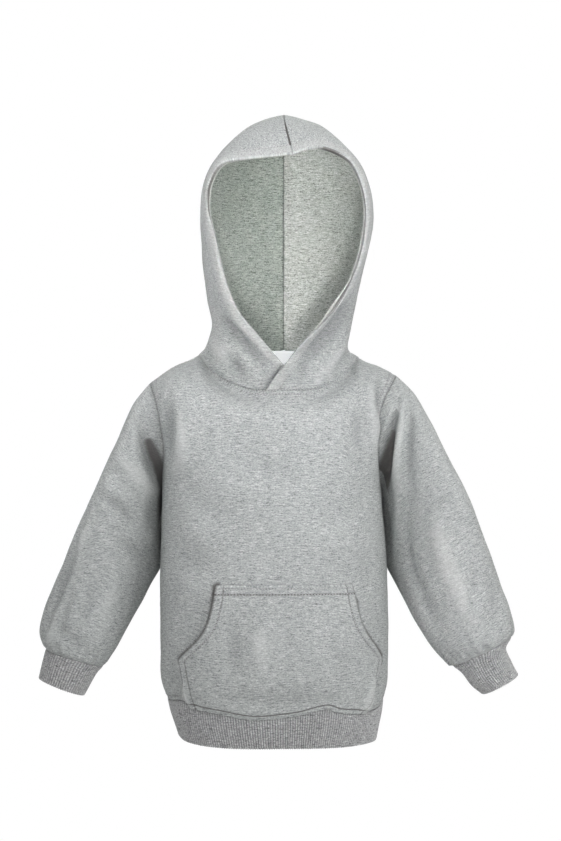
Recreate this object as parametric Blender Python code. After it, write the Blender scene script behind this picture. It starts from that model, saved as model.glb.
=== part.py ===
"""A toddler's pullover hoodie with a kangaroo pocket, filled out as if it were worn.

Tables and functions work in millimetres, and a mesh is made in metres. X runs to the wearer's
left, the front faces -Y and Z is up. The origin is the middle of the neck, level with the
shoulder seams. A grid of points has its rows going up the piece and its columns going round it
anticlockwise as seen from above, so its faces point outwards.
"""

from collections import namedtuple

import bmesh
import bpy
import numpy as np

MM = 0.001

FLEECE = 2.0  # one layer of brushed fleece
TURNED = 2.6  # an edge that is folded in and stitched
LABEL = 1.0  # woven tape
SEAM_GAP = 0.3  # between two pieces that are sewn together
SHARPEST_MITRE = 0.6  # limits how far a wall reaches into a tight corner

RIB_CREST = 0.5  # above the band's plain surface
RIB_VALLEY = -0.4
RIBS_PER_HEM_CELL = 6
RIBS_PER_CUFF_CELL = 3

BODY_COLUMNS = 20  # across one body panel
SHOULDER_COLUMNS = 4  # of those, from the armhole to the neck
FULLNESS = 2.6  # 2 is an ellipse, more is squarer
BODY_TURN = 0.1  # slope of the chest: the body is turned a little to its left
ARMPIT = 9  # the body row where the side seam ends
CHEST = 12  # the last body row, from which the shoulders close over
BODY_STATIONS = [0, 0.5, 1, 2, 2.5, 3, 3.5, 4, 5, 6, 7, 8, 9, 9.6, 10.2, 10.8, 11.4, 12]
SHOULDER_STEPS = 5
POCKET_TOP_ROW = 9  # index in BODY_STATIONS of the pocket's top edge
POCKET_SLACK = 3.0
POCKET_SIDE_ROW = 3  # where the sewn sides end and the hand openings begin

GATHER = 0.8  # the sleeve's fullness where the cuff takes it in
GATHER_ROWS = 4

FRONT_OVERLAP = 5.0  # the hood's right front tucks behind its left front by this much
OVERLAP_FADE = 8.0

# One row across a body panel. mid is the panel's middle, right and left are its edges, and the
# pocket columns say where the pocket's two sides cross the row.
BodyRow = namedtuple(
    "BodyRow",
    "mid_x mid_y mid_z right_x right_y right_z left_x left_y left_z pocket_r pocket_l",
)

FRONT_ROWS = [
    BodyRow(4, -91, -359, -116, -10, -347, 108.5, 11, -350, -89, 87),  # hem seam
    BodyRow(5, -97, -332, -121, -12, -326, 112, 12, -328, -94, 97),
    BodyRow(5, -98, -306, -121.5, -12, -302, 112.3, 12, -308, -98.5, 102),  # pocket's corners
    BodyRow(5, -98, -290, -121.5, -12, -287, 112.3, 12, -291, -83, 90),
    BodyRow(5, -97.5, -274, -121.5, -12, -273, 112.3, 12, -275, -71, 80),
    BodyRow(5, -97, -252, -121.5, -12, -252, 112, 12, -253, -64.5, 74.5),
    BodyRow(5, -96, -229.5, -121.5, -11, -229, 111.5, 12, -230, -62, 72.5),  # pocket's top
    BodyRow(5, -95, -198, -121, -10, -198, 110.3, 12, -198, -63, 71),
    BodyRow(5, -94, -163, -120, -9, -163, 107.5, 12, -163, -66, 72),
    BodyRow(5, -93, -128, -119, -8, -128, 105, 12, -128, -69, 73),  # armpit
    BodyRow(5, -91.5, -106, -117.5, -22, -112, 102, -3, -112, -72, 74),
    BodyRow(4.5, -89, -84, -116.5, -36, -90, 99.5, -20, -90, -75, 75),
    BodyRow(4, -85, -62, -119.5, -43, -65, 101, -30, -64, -78, 77),  # chest
]

BACK_ROWS = [
    BodyRow(-13, 84, -354, -116, -10, -347, 108.5, 11, -350, -82, 66),
    BodyRow(-15, 90, -331, -121, -12, -326, 112, 12, -328, -84, 68),
    BodyRow(-15, 92, -306, -121.5, -12, -302, 112.3, 12, -308, -84, 68),
    BodyRow(-15, 92.5, -290, -121.5, -12, -287, 112.3, 12, -291, -84, 68),
    BodyRow(-15, 93, -274, -121.5, -12, -273, 112.3, 12, -275, -84, 68),
    BodyRow(-15, 93, -252, -121.5, -12, -252, 112, 12, -253, -84, 68),
    BodyRow(-15, 93, -230, -121.5, -11, -229, 111.5, 12, -230, -84, 68),
    BodyRow(-14, 93, -198, -121, -10, -198, 110.3, 12, -198, -84, 68),
    BodyRow(-13, 93, -163, -120, -9, -163, 107.5, 12, -163, -84, 68),
    BodyRow(-12, 92.5, -128, -119, -8, -128, 105, 12, -128, -84, 68),
    BodyRow(-10, 91, -106, -117.5, 8, -112, 102, 29, -112, -83, 70),
    BodyRow(-7, 88, -84, -117, 24, -90, 100, 46, -90, -82, 72),
    BodyRow(-4, 83, -60, -119, 32, -65, 101, 53, -64, -81, 74),
]

# Top edges of the panels, from the wearer's right to left on the front and back again behind.
Point = namedtuple("Point", "x y z")
SHOULDER_RIGHT = [Point(-133, -4, -24), Point(-107, 0, -7), Point(-82, 4, 2)]
SHOULDER_LEFT = [Point(82, 6, -1), Point(102, 5, -6.5), Point(121.5, 4, -17)]
NECK_FRONT = [
    Point(-82, 4, 2),
    Point(-66, -26, -14),
    Point(-30, -55, -31.5),
    Point(5, -62, -32),
    Point(39, -51, -30.5),
    Point(66, -24, -15),
    Point(82, 6, -1),
]
NECK_BACK = [
    Point(82, 6, -1),
    Point(71, 33, 6),
    Point(40, 52, 10.5),
    Point(5, 57, 12),
    Point(-30, 52, 10.5),
    Point(-67, 32, 6),
    Point(-82, 4, 2),
]

# One ring of a sleeve or cuff: its outer and inner points as seen from the front, its depth,
# and how far it turns its inner point to the back, where the arm lies behind the body's edge.
# The rings run from the shoulder to the wrist.
Ring = namedtuple("Ring", "outer_x outer_z inner_x inner_z depth mid_y turn")

SLEEVE_RIGHT = [
    Ring(-147.5, -44, -122, -138, 45, -7, -15),
    Ring(-158.6, -69, -121.4, -160, 47, -8, -30),
    Ring(-174.8, -105, -121.8, -186, 47, -9, -36),
    Ring(-194.6, -150, -122.2, -210, 47, -11, -36),
    Ring(-214.8, -196, -134.5, -233, 45, -13, -26),
    Ring(-230.2, -232, -146, -255, 43, -15, -13),
    Ring(-242.6, -261, -158, -277, 40, -16, -4),
    Ring(-246, -281, -170, -299, 36, -17, 0),
    Ring(-239.5, -298.5, -182, -316, 29, -17, 0),
]
CUFF_RIGHT = [
    Ring(-241.5, -308, -189.5, -324, 26.5, -17, 0),
    Ring(-246.5, -328, -201.5, -345.3, 24, -18, 0),
]
SLEEVE_LEFT = [
    Ring(140, -36, 107.2, -138, 46, 10, -17),
    Ring(155.4, -63, 108.4, -160, 48, 8, -30),
    Ring(173, -100, 110.1, -184, 48, 6, -36),
    Ring(194.7, -144, 111.2, -207, 47, 3, -36),
    Ring(213.6, -192, 120.5, -229, 46, 0, -26),
    Ring(226.5, -227, 132, -252, 44, -3, -13),
    Ring(237, -256, 145, -276, 41, -5, -4),
    Ring(242, -276, 160, -297, 37, -7, 0),
    Ring(240, -287, 181, -316, 30, -8, 0),
]
CUFF_LEFT = [
    Ring(234, -299, 191, -323.5, 26, -8, 0),
    Ring(240, -314, 200, -336, 25, -9, 0),
    Ring(246.5, -325.5, 210.5, -345, 24, -10, 0),
]
SLEEVE_STATIONS = [9, 8.5, 8, 7.5, 7, 6, 5, 4, 3.5, 3, 2.5, 2, 1.5, 1, 0.6, 0.3, 0]

# One row round half of the hood, from the face opening past the ear to the middle of the back.
# flat says how straight it runs backwards: 0 is round like a cheek, 1 straight like the crown.
HoodRow = namedtuple("HoodRow", "edge_x edge_y edge_z side_x side_y side_z back_y back_z flat")
HOOD_MIDDLE = 5.0
HOOD_FRONT_COLUMNS = 7
HOOD_BACK_COLUMNS = 6
HOOD_ROWS_PER_TABLE_ROW = 3

HOOD_LEFT = [
    HoodRow(5, -73, -8, 71, 1, 12, 64, 30, 0),
    HoodRow(27, -80, 18, 75, 2, 37, 72, 50, 0),
    HoodRow(58, -84, 50, 80, 1, 63, 81, 74, 0),
    HoodRow(77.5, -85, 87, 86, 0, 93, 89, 102, 0),
    HoodRow(86.5, -84, 120, 93.5, -2, 124, 94, 130, 0),
    HoodRow(88.5, -82, 149, 96.2, -5, 152, 96, 156, 0),
    HoodRow(84, -80, 174, 91.5, -6, 182, 93, 183, 0.1),
    HoodRow(71, -78, 200, 76.5, -8, 212.5, 85, 208, 0.3),
    HoodRow(43.5, -77, 212, 48, -10, 239, 76, 226, 0.6),
    HoodRow(28, -76.5, 211, 24.5, -12, 248, 66, 236, 0.8),
    HoodRow(13.6, -76, 207, 5, -14, 252.5, 55, 241.5, 0.9),
]
HOOD_RIGHT = [
    HoodRow(5, -73, -8, -75, 0, 13, 64, 30, 0),
    HoodRow(-20, -79, 21, -68.5, 0, 37, 72, 50, 0),
    HoodRow(-43, -83, 50, -74, 0, 64, 81, 74, 0),
    HoodRow(-56, -84, 84, -77.5, -1, 94, 89, 102, 0),
    HoodRow(-64.5, -83, 120, -79.5, -3, 124, 94, 130, 0),
    HoodRow(-72.5, -81, 150, -80.5, -5, 152, 96, 156, 0),
    HoodRow(-70.5, -79, 177, -77, -6, 181, 93, 183, 0.1),
    HoodRow(-57, -77, 197.5, -62, -8, 211, 85, 208, 0.3),
    HoodRow(-28, -76, 203, -35, -10, 236.5, 76, 226, 0.6),
    HoodRow(-6, -76, 205, -15, -12, 247.5, 66, 236, 0.8),
    HoodRow(13.6, -76, 207, 5, -14, 252.5, 55, 241.5, 0.9),
]

# The hem band below the body's own hem row: its middle and its bottom edge.
HEM_FRONT = [
    BodyRow(4, -89, -375, -110, -10, -366, 104.5, 11, -371, -85, 83),
    BodyRow(4, -86, -392.5, -104, -10, -383, 100, 10, -393, -80, 78),
]
HEM_BACK = [
    BodyRow(-13, 82, -371, -110, -10, -366, 104.5, 11, -371, -80, 64),
    BodyRow(-12, 78, -388, -104, -10, -383, 100, 10, -393, -76, 60),
]

# Soft creases, each a line in the view from the front. side is -1 on the front of a piece and 1
# on its back, and depth is inwards, so a ridge's is negative.
Fold = namedtuple("Fold", "piece side x0 z0 x1 z1 width depth")
FOLDS = [
    Fold("hood_right", -1, -62, 66, -20, 6, 9, 4.0),
    Fold("hood_left", -1, 74, 62, 32, 2, 9, 4.5),
    Fold("hood_right", 1, -62, 40, -20, 90, 14, 3.0),
    Fold("hood_left", 1, 64, 38, 26, 88, 14, 3.0),
    Fold("front", -1, -112, -44, -113, -95, 8, 3.0),
    Fold("front", -1, 104, -22, 103, -56, 8, 3.0),
    Fold("front", -1, 96, -40, 98, -112, 8, -2.5),
    Fold("front", -1, -40, -96, 34, -120, 22, 2.5),
    Fold("front", -1, -50, -210, 44, -196, 18, -2.0),
    Fold("front", -1, -30, -340, 34, -344, 12, -2.5),
    Fold("back", 1, -104, -60, -92, -130, 14, 3.5),
    Fold("back", 1, 92, -56, 78, -126, 14, 3.5),
    Fold("back", 1, -60, -300, 30, -322, 16, 3.0),
    Fold("back", 1, -40, -150, 60, -172, 20, 2.5),
    Fold("sleeve_right", -1, -152, -112, -166, -190, 13, -3.0),
    Fold("sleeve_right", -1, -192, -188, -222, -272, 12, 3.5),
    Fold("sleeve_right", 1, -150, -130, -196, -240, 14, 3.5),
    Fold("sleeve_left", -1, 136, -40, 130, -130, 12, -3.0),
    Fold("sleeve_left", -1, 130, -150, 166, -280, 13, 4.0),
    Fold("sleeve_left", -1, 160, -170, 196, -270, 14, -3.0),
    Fold("sleeve_left", 1, 140, -130, 190, -240, 14, 3.5),
]

Paint = namedtuple("Paint", "red green blue roughness")
PAINTS = {
    "fleece": Paint(0.43, 0.44, 0.44, 0.92),
    "rib": Paint(0.33, 0.33, 0.33, 0.92),
    "label": Paint(0.80, 0.86, 0.87, 0.7),
}


def clear_scene():
    for thing in list(bpy.data.objects):
        bpy.data.objects.remove(thing, do_unlink=True)


def spline(knots, positions):
    """A smooth curve through the knots, read at positions that count in knots."""
    knots = np.asarray(knots, float)
    positions = np.asarray(positions, float)
    low = np.clip(np.floor(positions).astype(int), 0, len(knots) - 2)
    t = (positions - low).reshape((-1,) + (1,) * (knots.ndim - 1))
    before = 2 * knots[0] - knots[1]
    after = 2 * knots[-1] - knots[-2]
    padded = np.concatenate([[before], knots, [after]])
    a, b, c, d = (padded[low + step] for step in range(4))
    return b + 0.5 * t * (c - a + t * (2 * a - 5 * b + 4 * c - d + t * (3 * (b - c) + d - a)))


def unit(vectors):
    return vectors / np.linalg.norm(vectors, axis=-1, keepdims=True)


def half_row(middle, edge, pocket_x, columns):
    """Points from a panel's middle to one edge, evenly spaced on each side of the pocket's."""
    across = np.sin(np.linspace(0, np.pi / 2, 181))
    arch = (1 - across**FULLNESS) ** (1 / FULLNESS)
    line = edge + (middle - edge) * arch[:, None]
    line[:, 0] = middle[0] + (edge[0] - middle[0]) * across
    line[:, 1] += BODY_TURN * (line[:, 0] - middle[0]) * arch
    length = np.concatenate([[0], np.cumsum(np.linalg.norm(np.diff(line, axis=0), axis=1))])
    share = (pocket_x - middle[0]) / (edge[0] - middle[0])
    pocket_length = np.interp(share, across, length)
    inside = np.linspace(0, pocket_length, columns - SHOULDER_COLUMNS + 1)
    outside = np.linspace(pocket_length, length[-1], SHOULDER_COLUMNS + 1)
    wanted = np.concatenate([inside, outside[1:]])
    return np.stack([np.interp(wanted, length, line[:, axis]) for axis in range(3)], axis=1)


def body_row(row):
    """One row of a panel, from the wearer's right to left."""
    middle, right, left = row[0:3], row[3:6], row[6:9]
    half = BODY_COLUMNS // 2
    to_right = half_row(middle, right, row[9], half)
    to_left = half_row(middle, left, row[10], half)
    return np.concatenate([to_right[::-1], to_left[1:]])


def top_edge(neck):
    """A panel's top edge from the wearer's right to left: shoulder, neck and shoulder."""
    shoulder = np.linspace(0, 2, SHOULDER_COLUMNS + 1)
    neck_columns = BODY_COLUMNS - 2 * SHOULDER_COLUMNS
    around = spline(neck, np.linspace(0, len(neck) - 1, neck_columns + 1))
    right = spline(SHOULDER_RIGHT, shoulder)
    left = spline(SHOULDER_LEFT, shoulder)
    return np.concatenate([right[:-1], around, left[1:]])


def close_shoulders(rows, top, backwards):
    """Rows that carry the chest over to the shoulder seams and the neck."""
    chest = rows[-1]
    reach = np.linalg.norm(top - chest, axis=1, keepdims=True)
    leaving = unit(rows[-1] - rows[-2]) * reach
    columns = np.abs(np.linspace(-1, 1, BODY_COLUMNS + 1))
    neck_share = 1 - 2 * SHOULDER_COLUMNS / BODY_COLUMNS
    over = np.clip(columns / neck_share, 0, 1)[:, None] ** 2
    onto_neck = unit(np.array([0, 0.45 * backwards, 0.9]))
    onto_shoulder = unit(np.array([0, backwards, 0.1]))
    arriving = unit(onto_neck + (onto_shoulder - onto_neck) * over) * reach
    made = []
    for t in np.linspace(0, 1, SHOULDER_STEPS + 1)[1:]:
        made.append(
            (2 * t**3 - 3 * t**2 + 1) * chest
            + (t**3 - 2 * t**2 + t) * leaving
            + (3 * t**2 - 2 * t**3) * top
            + (t**3 - t**2) * arriving
        )
    return np.concatenate([rows, made])


def body_panel(table, neck, backwards):
    rows = np.array([body_row(row) for row in spline(table, BODY_STATIONS)])
    return close_shoulders(rows, top_edge(neck), backwards)


def armhole(front, back, wearers_left):
    """The loop of points round an armhole, from the shoulder seam past the armpit and back."""
    first = BODY_STATIONS.index(ARMPIT)
    column = BODY_COLUMNS if wearers_left else 0
    down_front = front[first:, column][::-1]
    down_back = back[first:, column][::-1]
    down, up = (down_back, down_front[::-1]) if wearers_left else (down_front, down_back[::-1])
    return np.concatenate([down, up[1:-1]])


def ring_points(ring, count, wearers_left):
    outer = np.array([ring.outer_x, 0, ring.outer_z])
    inner = np.array([ring.inner_x, 0, ring.inner_z])
    middle = (outer + inner) / 2 + [0, ring.mid_y, 0]
    across = (outer - inner) / 2 + [0, ring.turn, 0]
    depth = np.array([0, ring.depth if wearers_left else -ring.depth, 0])
    angle = np.linspace(0, 2 * np.pi, count, endpoint=False)[:, None]
    return middle + across * np.cos(angle) + depth * np.sin(angle)


def sleeve(rings, hole, wearers_left):
    """Rows from the cuff seam up to the armhole, with small gathers above the cuff."""
    count = len(hole)
    knots = np.array([hole] + [ring_points(ring, count, wearers_left) for ring in rings])
    grid = spline(knots, SLEEVE_STATIONS)
    centres = grid.mean(axis=1, keepdims=True)
    in_and_out = np.where(np.arange(count) % 2, -GATHER, GATHER)[None, :, None]
    rows = np.arange(len(grid))[:, None, None]
    fade = np.where(rows > 0, np.clip(1 - (rows - 1) / GATHER_ROWS, 0, 1), 0)
    return grid + unit(grid - centres) * in_and_out * fade


def cuff(rings, seam, wearers_left):
    """Rows from the wrist up to the seam with the sleeve."""
    made = [ring_points(ring, len(seam), wearers_left) for ring in rings]
    return np.array(made[::-1] + [seam])


def hood_line(row):
    """One hood row from the face opening to the middle of the back."""
    t = np.linspace(0, 1, HOOD_FRONT_COLUMNS + 1)
    bend = np.sin(t * np.pi / 2)
    ahead = (1 - row.flat) * np.cos(t * np.pi / 2) + row.flat * (1 - t)
    front = np.stack(
        [
            row.edge_x + (row.side_x - row.edge_x) * bend,
            row.side_y + (row.edge_y - row.side_y) * ahead,
            row.edge_z + (row.side_z - row.edge_z) * (t + bend) / 2,
        ],
        axis=1,
    )
    t = np.linspace(0, 1, HOOD_BACK_COLUMNS + 1)[1:]
    bend = np.sin(t * np.pi / 2)
    back = np.stack(
        [
            HOOD_MIDDLE + (row.side_x - HOOD_MIDDLE) * np.cos(t * np.pi / 2),
            row.side_y + (row.back_y - row.side_y) * ((1 - row.flat) * bend + row.flat * t),
            row.side_z + (row.back_z - row.side_z) * t**2,
        ],
        axis=1,
    )
    return np.concatenate([front, back])


def hood_half(table, neck_line, wearers_left):
    """Half of the hood. neck_line runs along the neck seam from the front to the back."""
    knots = np.array([neck_line] + [hood_line(row) for row in table])
    count = len(table) * HOOD_ROWS_PER_TABLE_ROW
    grid = spline(knots, np.linspace(0, len(table), count + 1))
    return grid if wearers_left else grid[:, ::-1]


def tuck_behind(right, left_edge):
    """Sets the hood's right front back, where its left front covers it."""
    foot, crossing = left_edge[0], left_edge[HOOD_ROWS_PER_TABLE_ROW]
    run = unit((crossing - foot)[[0, 2]])
    covered = (right[..., 0] - foot[0]) * run[1] - (right[..., 2] - foot[2]) * run[0]
    low = right[..., 2] < crossing[2] + OVERLAP_FADE
    share = np.clip((covered + OVERLAP_FADE + 1) / OVERLAP_FADE, 0, 1)
    depth = FRONT_OVERLAP * share**2 * (3 - 2 * share)
    moved = right.copy()
    moved[..., 1] += np.where(low & (right[..., 1] < 0), depth, 0)
    return moved


def crease(name, grid, wrap):
    """Adds the folds of this piece along its own normals."""
    normals = unit(vertex_normals(grid, wrap))
    for fold in FOLDS:
        if fold.piece != name:
            continue
        start = np.array([fold.x0, fold.z0])
        run = np.array([fold.x1, fold.z1]) - start
        flat = grid[..., [0, 2]] - start
        along = np.clip(flat @ run / (run @ run), 0, 1)
        away = np.linalg.norm(flat - along[..., None] * run, axis=-1) / fold.width
        facing = np.clip(normals[..., 1] * fold.side * 2, 0, 1)
        depth = fold.depth * np.exp(-(away**2)) * facing
        depth[[0, -1]] = 0
        if not wrap:
            depth[:, [0, -1]] = 0
        grid = grid - normals * depth[..., None]
    return grid


def grid_faces(rows, columns, wrap):
    """Corner indices of the grid's cells, facing outwards."""
    faces = []
    for row in range(rows - 1):
        for column in range(columns if wrap else columns - 1):
            beside = (column + 1) % columns
            faces.append(
                (
                    row * columns + column,
                    row * columns + beside,
                    (row + 1) * columns + beside,
                    (row + 1) * columns + column,
                )
            )
    return faces


def cut_cells(faces):
    """Cuts every cell along the same diagonal, so that layers of cloth stay parallel."""
    return [half for a, b, c, d in faces for half in ((a, b, c), (a, c, d))]


def cell_normals(grid, wrap):
    """Each cell's corners, as indices, and its normal, as long as its area."""
    rows, columns = grid.shape[:2]
    faces = np.array(grid_faces(rows, columns, wrap))
    points = grid.reshape(-1, 3)[faces]
    normals = np.cross(points[:, 2] - points[:, 0], points[:, 3] - points[:, 1]) / 2
    return faces, normals


def vertex_normals(grid, wrap):
    faces, normals = cell_normals(grid, wrap)
    total = np.zeros((grid.shape[0] * grid.shape[1], 3))
    for corner in range(4):
        np.add.at(total, faces[:, corner], normals)
    return total.reshape(grid.shape)


def key_of(point):
    return tuple(np.round(point, 3))


class Seams:
    """Gives pieces that meet at a seam one shared direction for their walls."""

    def __init__(self, pieces):
        self.sides = {}
        for side, grid, wrap in pieces:
            faces, normals = cell_normals(grid, wrap)
            points = grid.reshape(-1, 3)
            for corners, normal in zip(faces, normals):
                for corner in corners:
                    meeting = self.sides.setdefault(key_of(points[corner]), {})
                    meeting[side] = meeting.get(side, 0) + normal

    def direction(self, point):
        """The way out of the wall here, lengthened where the sides meet at an angle."""
        normals = unit(np.array(list(self.sides[key_of(point)].values())))
        out = unit(normals.sum(axis=0))
        return out / max((normals @ out).mean(), SHARPEST_MITRE)

    def directions(self, grid):
        flat = [self.direction(point) for point in grid.reshape(-1, 3)]
        return np.array(flat).reshape(grid.shape)


def into_piece(edge, out, wrap):
    """Unit steps to the left of an edge, as it runs, square to it and to the way out."""
    if wrap:
        along = np.roll(edge, -1, axis=0) - np.roll(edge, 1, axis=0)
    else:
        along = np.gradient(edge, axis=0)
    return unit(np.cross(out, along))


def part_at_seams(grid, out, wrap):
    """Draws each edge back from its seam by half of the gap."""
    half_gap = SEAM_GAP / 2
    parted = grid.copy()
    parted[0] += half_gap * into_piece(grid[0], out[0], wrap)
    parted[-1] -= half_gap * into_piece(grid[-1], out[-1], wrap)
    if not wrap:
        parted[:, 0] -= half_gap * into_piece(grid[:, 0], out[:, 0], False)
        parted[:, -1] += half_gap * into_piece(grid[:, -1], out[:, -1], False)
    return parted


def material_of(name):
    if name in bpy.data.materials:
        return bpy.data.materials[name]
    paint = PAINTS[name]
    material = bpy.data.materials.new(name)
    material.use_nodes = True
    shader = material.node_tree.nodes["Principled BSDF"]
    shader.inputs["Base Color"].default_value = (paint.red, paint.green, paint.blue, 1)
    shader.inputs["Roughness"].default_value = paint.roughness
    return material


def add_object(name, points, faces, material):
    mesh = bpy.data.meshes.new(name)
    mesh.from_pydata((np.asarray(points) * MM).tolist(), [], faces)
    solid = bmesh.new()
    solid.from_mesh(mesh)
    bmesh.ops.recalc_face_normals(solid, faces=solid.faces)
    solid.to_mesh(mesh)
    solid.free()
    mesh.materials.append(material_of(material))
    mesh.shade_smooth()
    mesh.set_sharp_from_angle(angle=np.radians(40))
    bpy.context.scene.collection.objects.link(bpy.data.objects.new(name, mesh))


def rim(first, count, wrap, offset):
    """Faces that join a run of outer points to the inner points at the given offset."""
    steps = len(first) if wrap else len(first) - 1
    ends = [(first[step], first[(step + 1) % count]) for step in range(steps)]
    return [(a, b, b + offset, a + offset) for a, b in ends]


def add_wall(name, outer, inner, wrap, material):
    """A closed sheet or tube of cloth between its outer and inner points."""
    rows, columns = outer.shape[:2]
    count = rows * columns
    index = np.arange(count).reshape(rows, columns)
    faces = cut_cells(grid_faces(rows, columns, wrap))
    faces += [tuple(count + corner for corner in reversed(face)) for face in faces]
    faces += rim(index[0].tolist(), columns, wrap, count)
    faces += rim(index[-1].tolist(), columns, wrap, count)
    if not wrap:
        faces += rim(index[:, 0].tolist(), rows, False, count)
        faces += rim(index[:, -1].tolist(), rows, False, count)
    add_object(name, np.concatenate([outer.reshape(-1, 3), inner.reshape(-1, 3)]), faces, material)


def add_ribbed_band(name, grid, directions, ribs):
    """A tube with ribs raised on its outside and a plain inside."""
    outer = part_at_seams(grid, directions, True)
    inner = outer - directions * FLEECE
    rows, cells = grid.shape[:2]
    steps = 2 * ribs
    columns = cells * steps
    share = (np.arange(steps) / steps)[:, None]
    height = np.where(np.arange(steps) % 2, RIB_CREST, RIB_VALLEY)[:, None]
    base = between_columns(outer, share)
    height = np.tile(height, (cells, 1))
    ribbed = base + between_columns(directions, share) * height
    faces = cut_cells(grid_faces(rows, columns, True))
    outside = rows * columns
    for face in cut_cells(grid_faces(rows, cells, True)):
        faces.append(tuple(outside + corner for corner in reversed(face)))
    for row in (0, rows - 1):
        for cell in range(cells):
            near = outside + row * cells + cell
            far = outside + row * cells + (cell + 1) % cells
            ends = [(cell * steps + step) % columns for step in range(steps + 1)]
            edge = [row * columns + end for end in ends]
            faces += [(edge[step], edge[step + 1], near) for step in range(ribs)]
            faces += [(edge[step], edge[step + 1], far) for step in range(ribs, steps)]
            faces.append((edge[ribs], far, near))
    add_object(name, np.concatenate([ribbed.reshape(-1, 3), inner.reshape(-1, 3)]), faces, "rib")


def between_columns(grid, share):
    """Points or directions at even shares of the way from each column to the next, in a row."""
    beside = np.roll(grid, -1, axis=1)[:, :, None]
    fine = grid[:, :, None] + (beside - grid[:, :, None]) * share
    return fine.reshape(len(grid), -1, 3)


def hem_band(front, back):
    """Rows of the hem band from its bottom edge up to the body's hem seam."""
    below = []
    for front_row, back_row in zip(HEM_FRONT[::-1], HEM_BACK[::-1]):
        below.append(ring_of(body_row(np.array(front_row)), body_row(np.array(back_row))))
    return np.array(below + [ring_of(front[0], back[0])])


def ring_of(front_row, back_row):
    """Joins two panel rows, both from the wearer's right to left, into one round."""
    return np.concatenate([front_row[:-1], back_row[::-1][:-1]])


def add_pocket(front, directions):
    """The pocket follows the front panel's own points, moved out."""
    rows = slice(0, POCKET_TOP_ROW + 1)
    columns = slice(SHOULDER_COLUMNS, BODY_COLUMNS - SHOULDER_COLUMNS + 1)
    base = front[rows, columns].copy()
    out = directions[rows, columns]
    base[0] += unit(base[1] - base[0]) * SEAM_GAP
    height = np.linspace(0, 1, base.shape[0])
    width = np.linspace(-1, 1, base.shape[1])
    slack = np.sin(np.pi * height)[:, None] * (1 - 0.5 * width**2)[None, :]
    slack[: POCKET_SIDE_ROW + 1] *= np.clip((1 - np.abs(width)) * 4, 0, 1)
    lift = SEAM_GAP + POCKET_SLACK * slack[..., None]
    wall = np.full(base.shape[:2] + (1,), FLEECE)
    wall[POCKET_SIDE_ROW:, [0, -1]] = TURNED
    wall[-1] = TURNED
    add_wall("pocket", base + out * (lift + wall), base + out * lift, False, "fleece")


def add_label(back, directions):
    """A blank woven label inside the back of the neck."""
    middle = BODY_COLUMNS // 2
    base = back[-4:, middle - 1 : middle + 2].copy()
    inward = directions[-4:, middle - 1 : middle + 2]
    base[-1] += (base[-2] - base[-1]) * 0.15
    outer = base - inward * (FLEECE + SEAM_GAP)
    add_wall("neck_label", outer, outer - inward * LABEL, False, "label")


def build():
    clear_scene()
    front = crease("front", body_panel(FRONT_ROWS, NECK_FRONT, 1), False)
    back_rows = body_panel(BACK_ROWS, NECK_BACK[::-1], -1)
    back = crease("back", back_rows[:, ::-1], False)[:, ::-1]

    nape = BODY_COLUMNS // 2
    side = SHOULDER_COLUMNS
    front_left = front[-1, nape - 1 : -side]
    back_left = back[-1, nape : -side - 1]
    front_right = front[-1, side : nape + 2]
    back_right = back[-1, side + 1 : nape + 1]
    neck_left = np.concatenate([front_left, back_left[::-1]])
    neck_right = np.concatenate([front_right[::-1], back_right])
    hood_left = crease("hood_left", hood_half(HOOD_LEFT, neck_left, True), False)
    hood_right = crease("hood_right", hood_half(HOOD_RIGHT, neck_right, False), False)
    hood_right = tuck_behind(hood_right, hood_left[:, 0])

    hole_right = armhole(front, back, False)
    hole_left = armhole(front, back, True)
    sleeve_right = crease("sleeve_right", sleeve(SLEEVE_RIGHT, hole_right, False), True)
    sleeve_left = crease("sleeve_left", sleeve(SLEEVE_LEFT, hole_left, True), True)
    cuff_right = cuff(CUFF_RIGHT, sleeve_right[0], False)
    cuff_left = cuff(CUFF_LEFT, sleeve_left[0], True)
    band = hem_band(front, back)

    sheets = {
        "front": ("body", front, False),
        "back": ("body", back[:, ::-1], False),
        "hood_left": ("hood", hood_left, False),
        "hood_right": ("hood", hood_right, False),
        "sleeve_right": ("sleeve", sleeve_right, True),
        "sleeve_left": ("sleeve", sleeve_left, True),
    }
    bands = {
        "cuff_right": (cuff_right, RIBS_PER_CUFF_CELL),
        "cuff_left": (cuff_left, RIBS_PER_CUFF_CELL),
        "hem_band": (band, RIBS_PER_HEM_CELL),
    }
    seams = Seams(list(sheets.values()) + [("band", grid, True) for grid, _ in bands.values()])
    for name, (_, grid, wrap) in sheets.items():
        thick = np.full(grid.shape[:2] + (1,), FLEECE)
        if name == "hood_left":
            thick[:, :2] = TURNED
        if name == "hood_right":
            thick[:, -2:] = TURNED
        out = seams.directions(grid)
        outer = part_at_seams(grid, out, wrap)
        add_wall(name, outer, outer - out * thick, wrap, "fleece")
    for name, (grid, ribs) in bands.items():
        add_ribbed_band(name, grid, seams.directions(grid), ribs)
    add_pocket(front, seams.directions(front))
    add_label(back[:, ::-1], seams.directions(back[:, ::-1]))


build()
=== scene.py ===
import math

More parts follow.
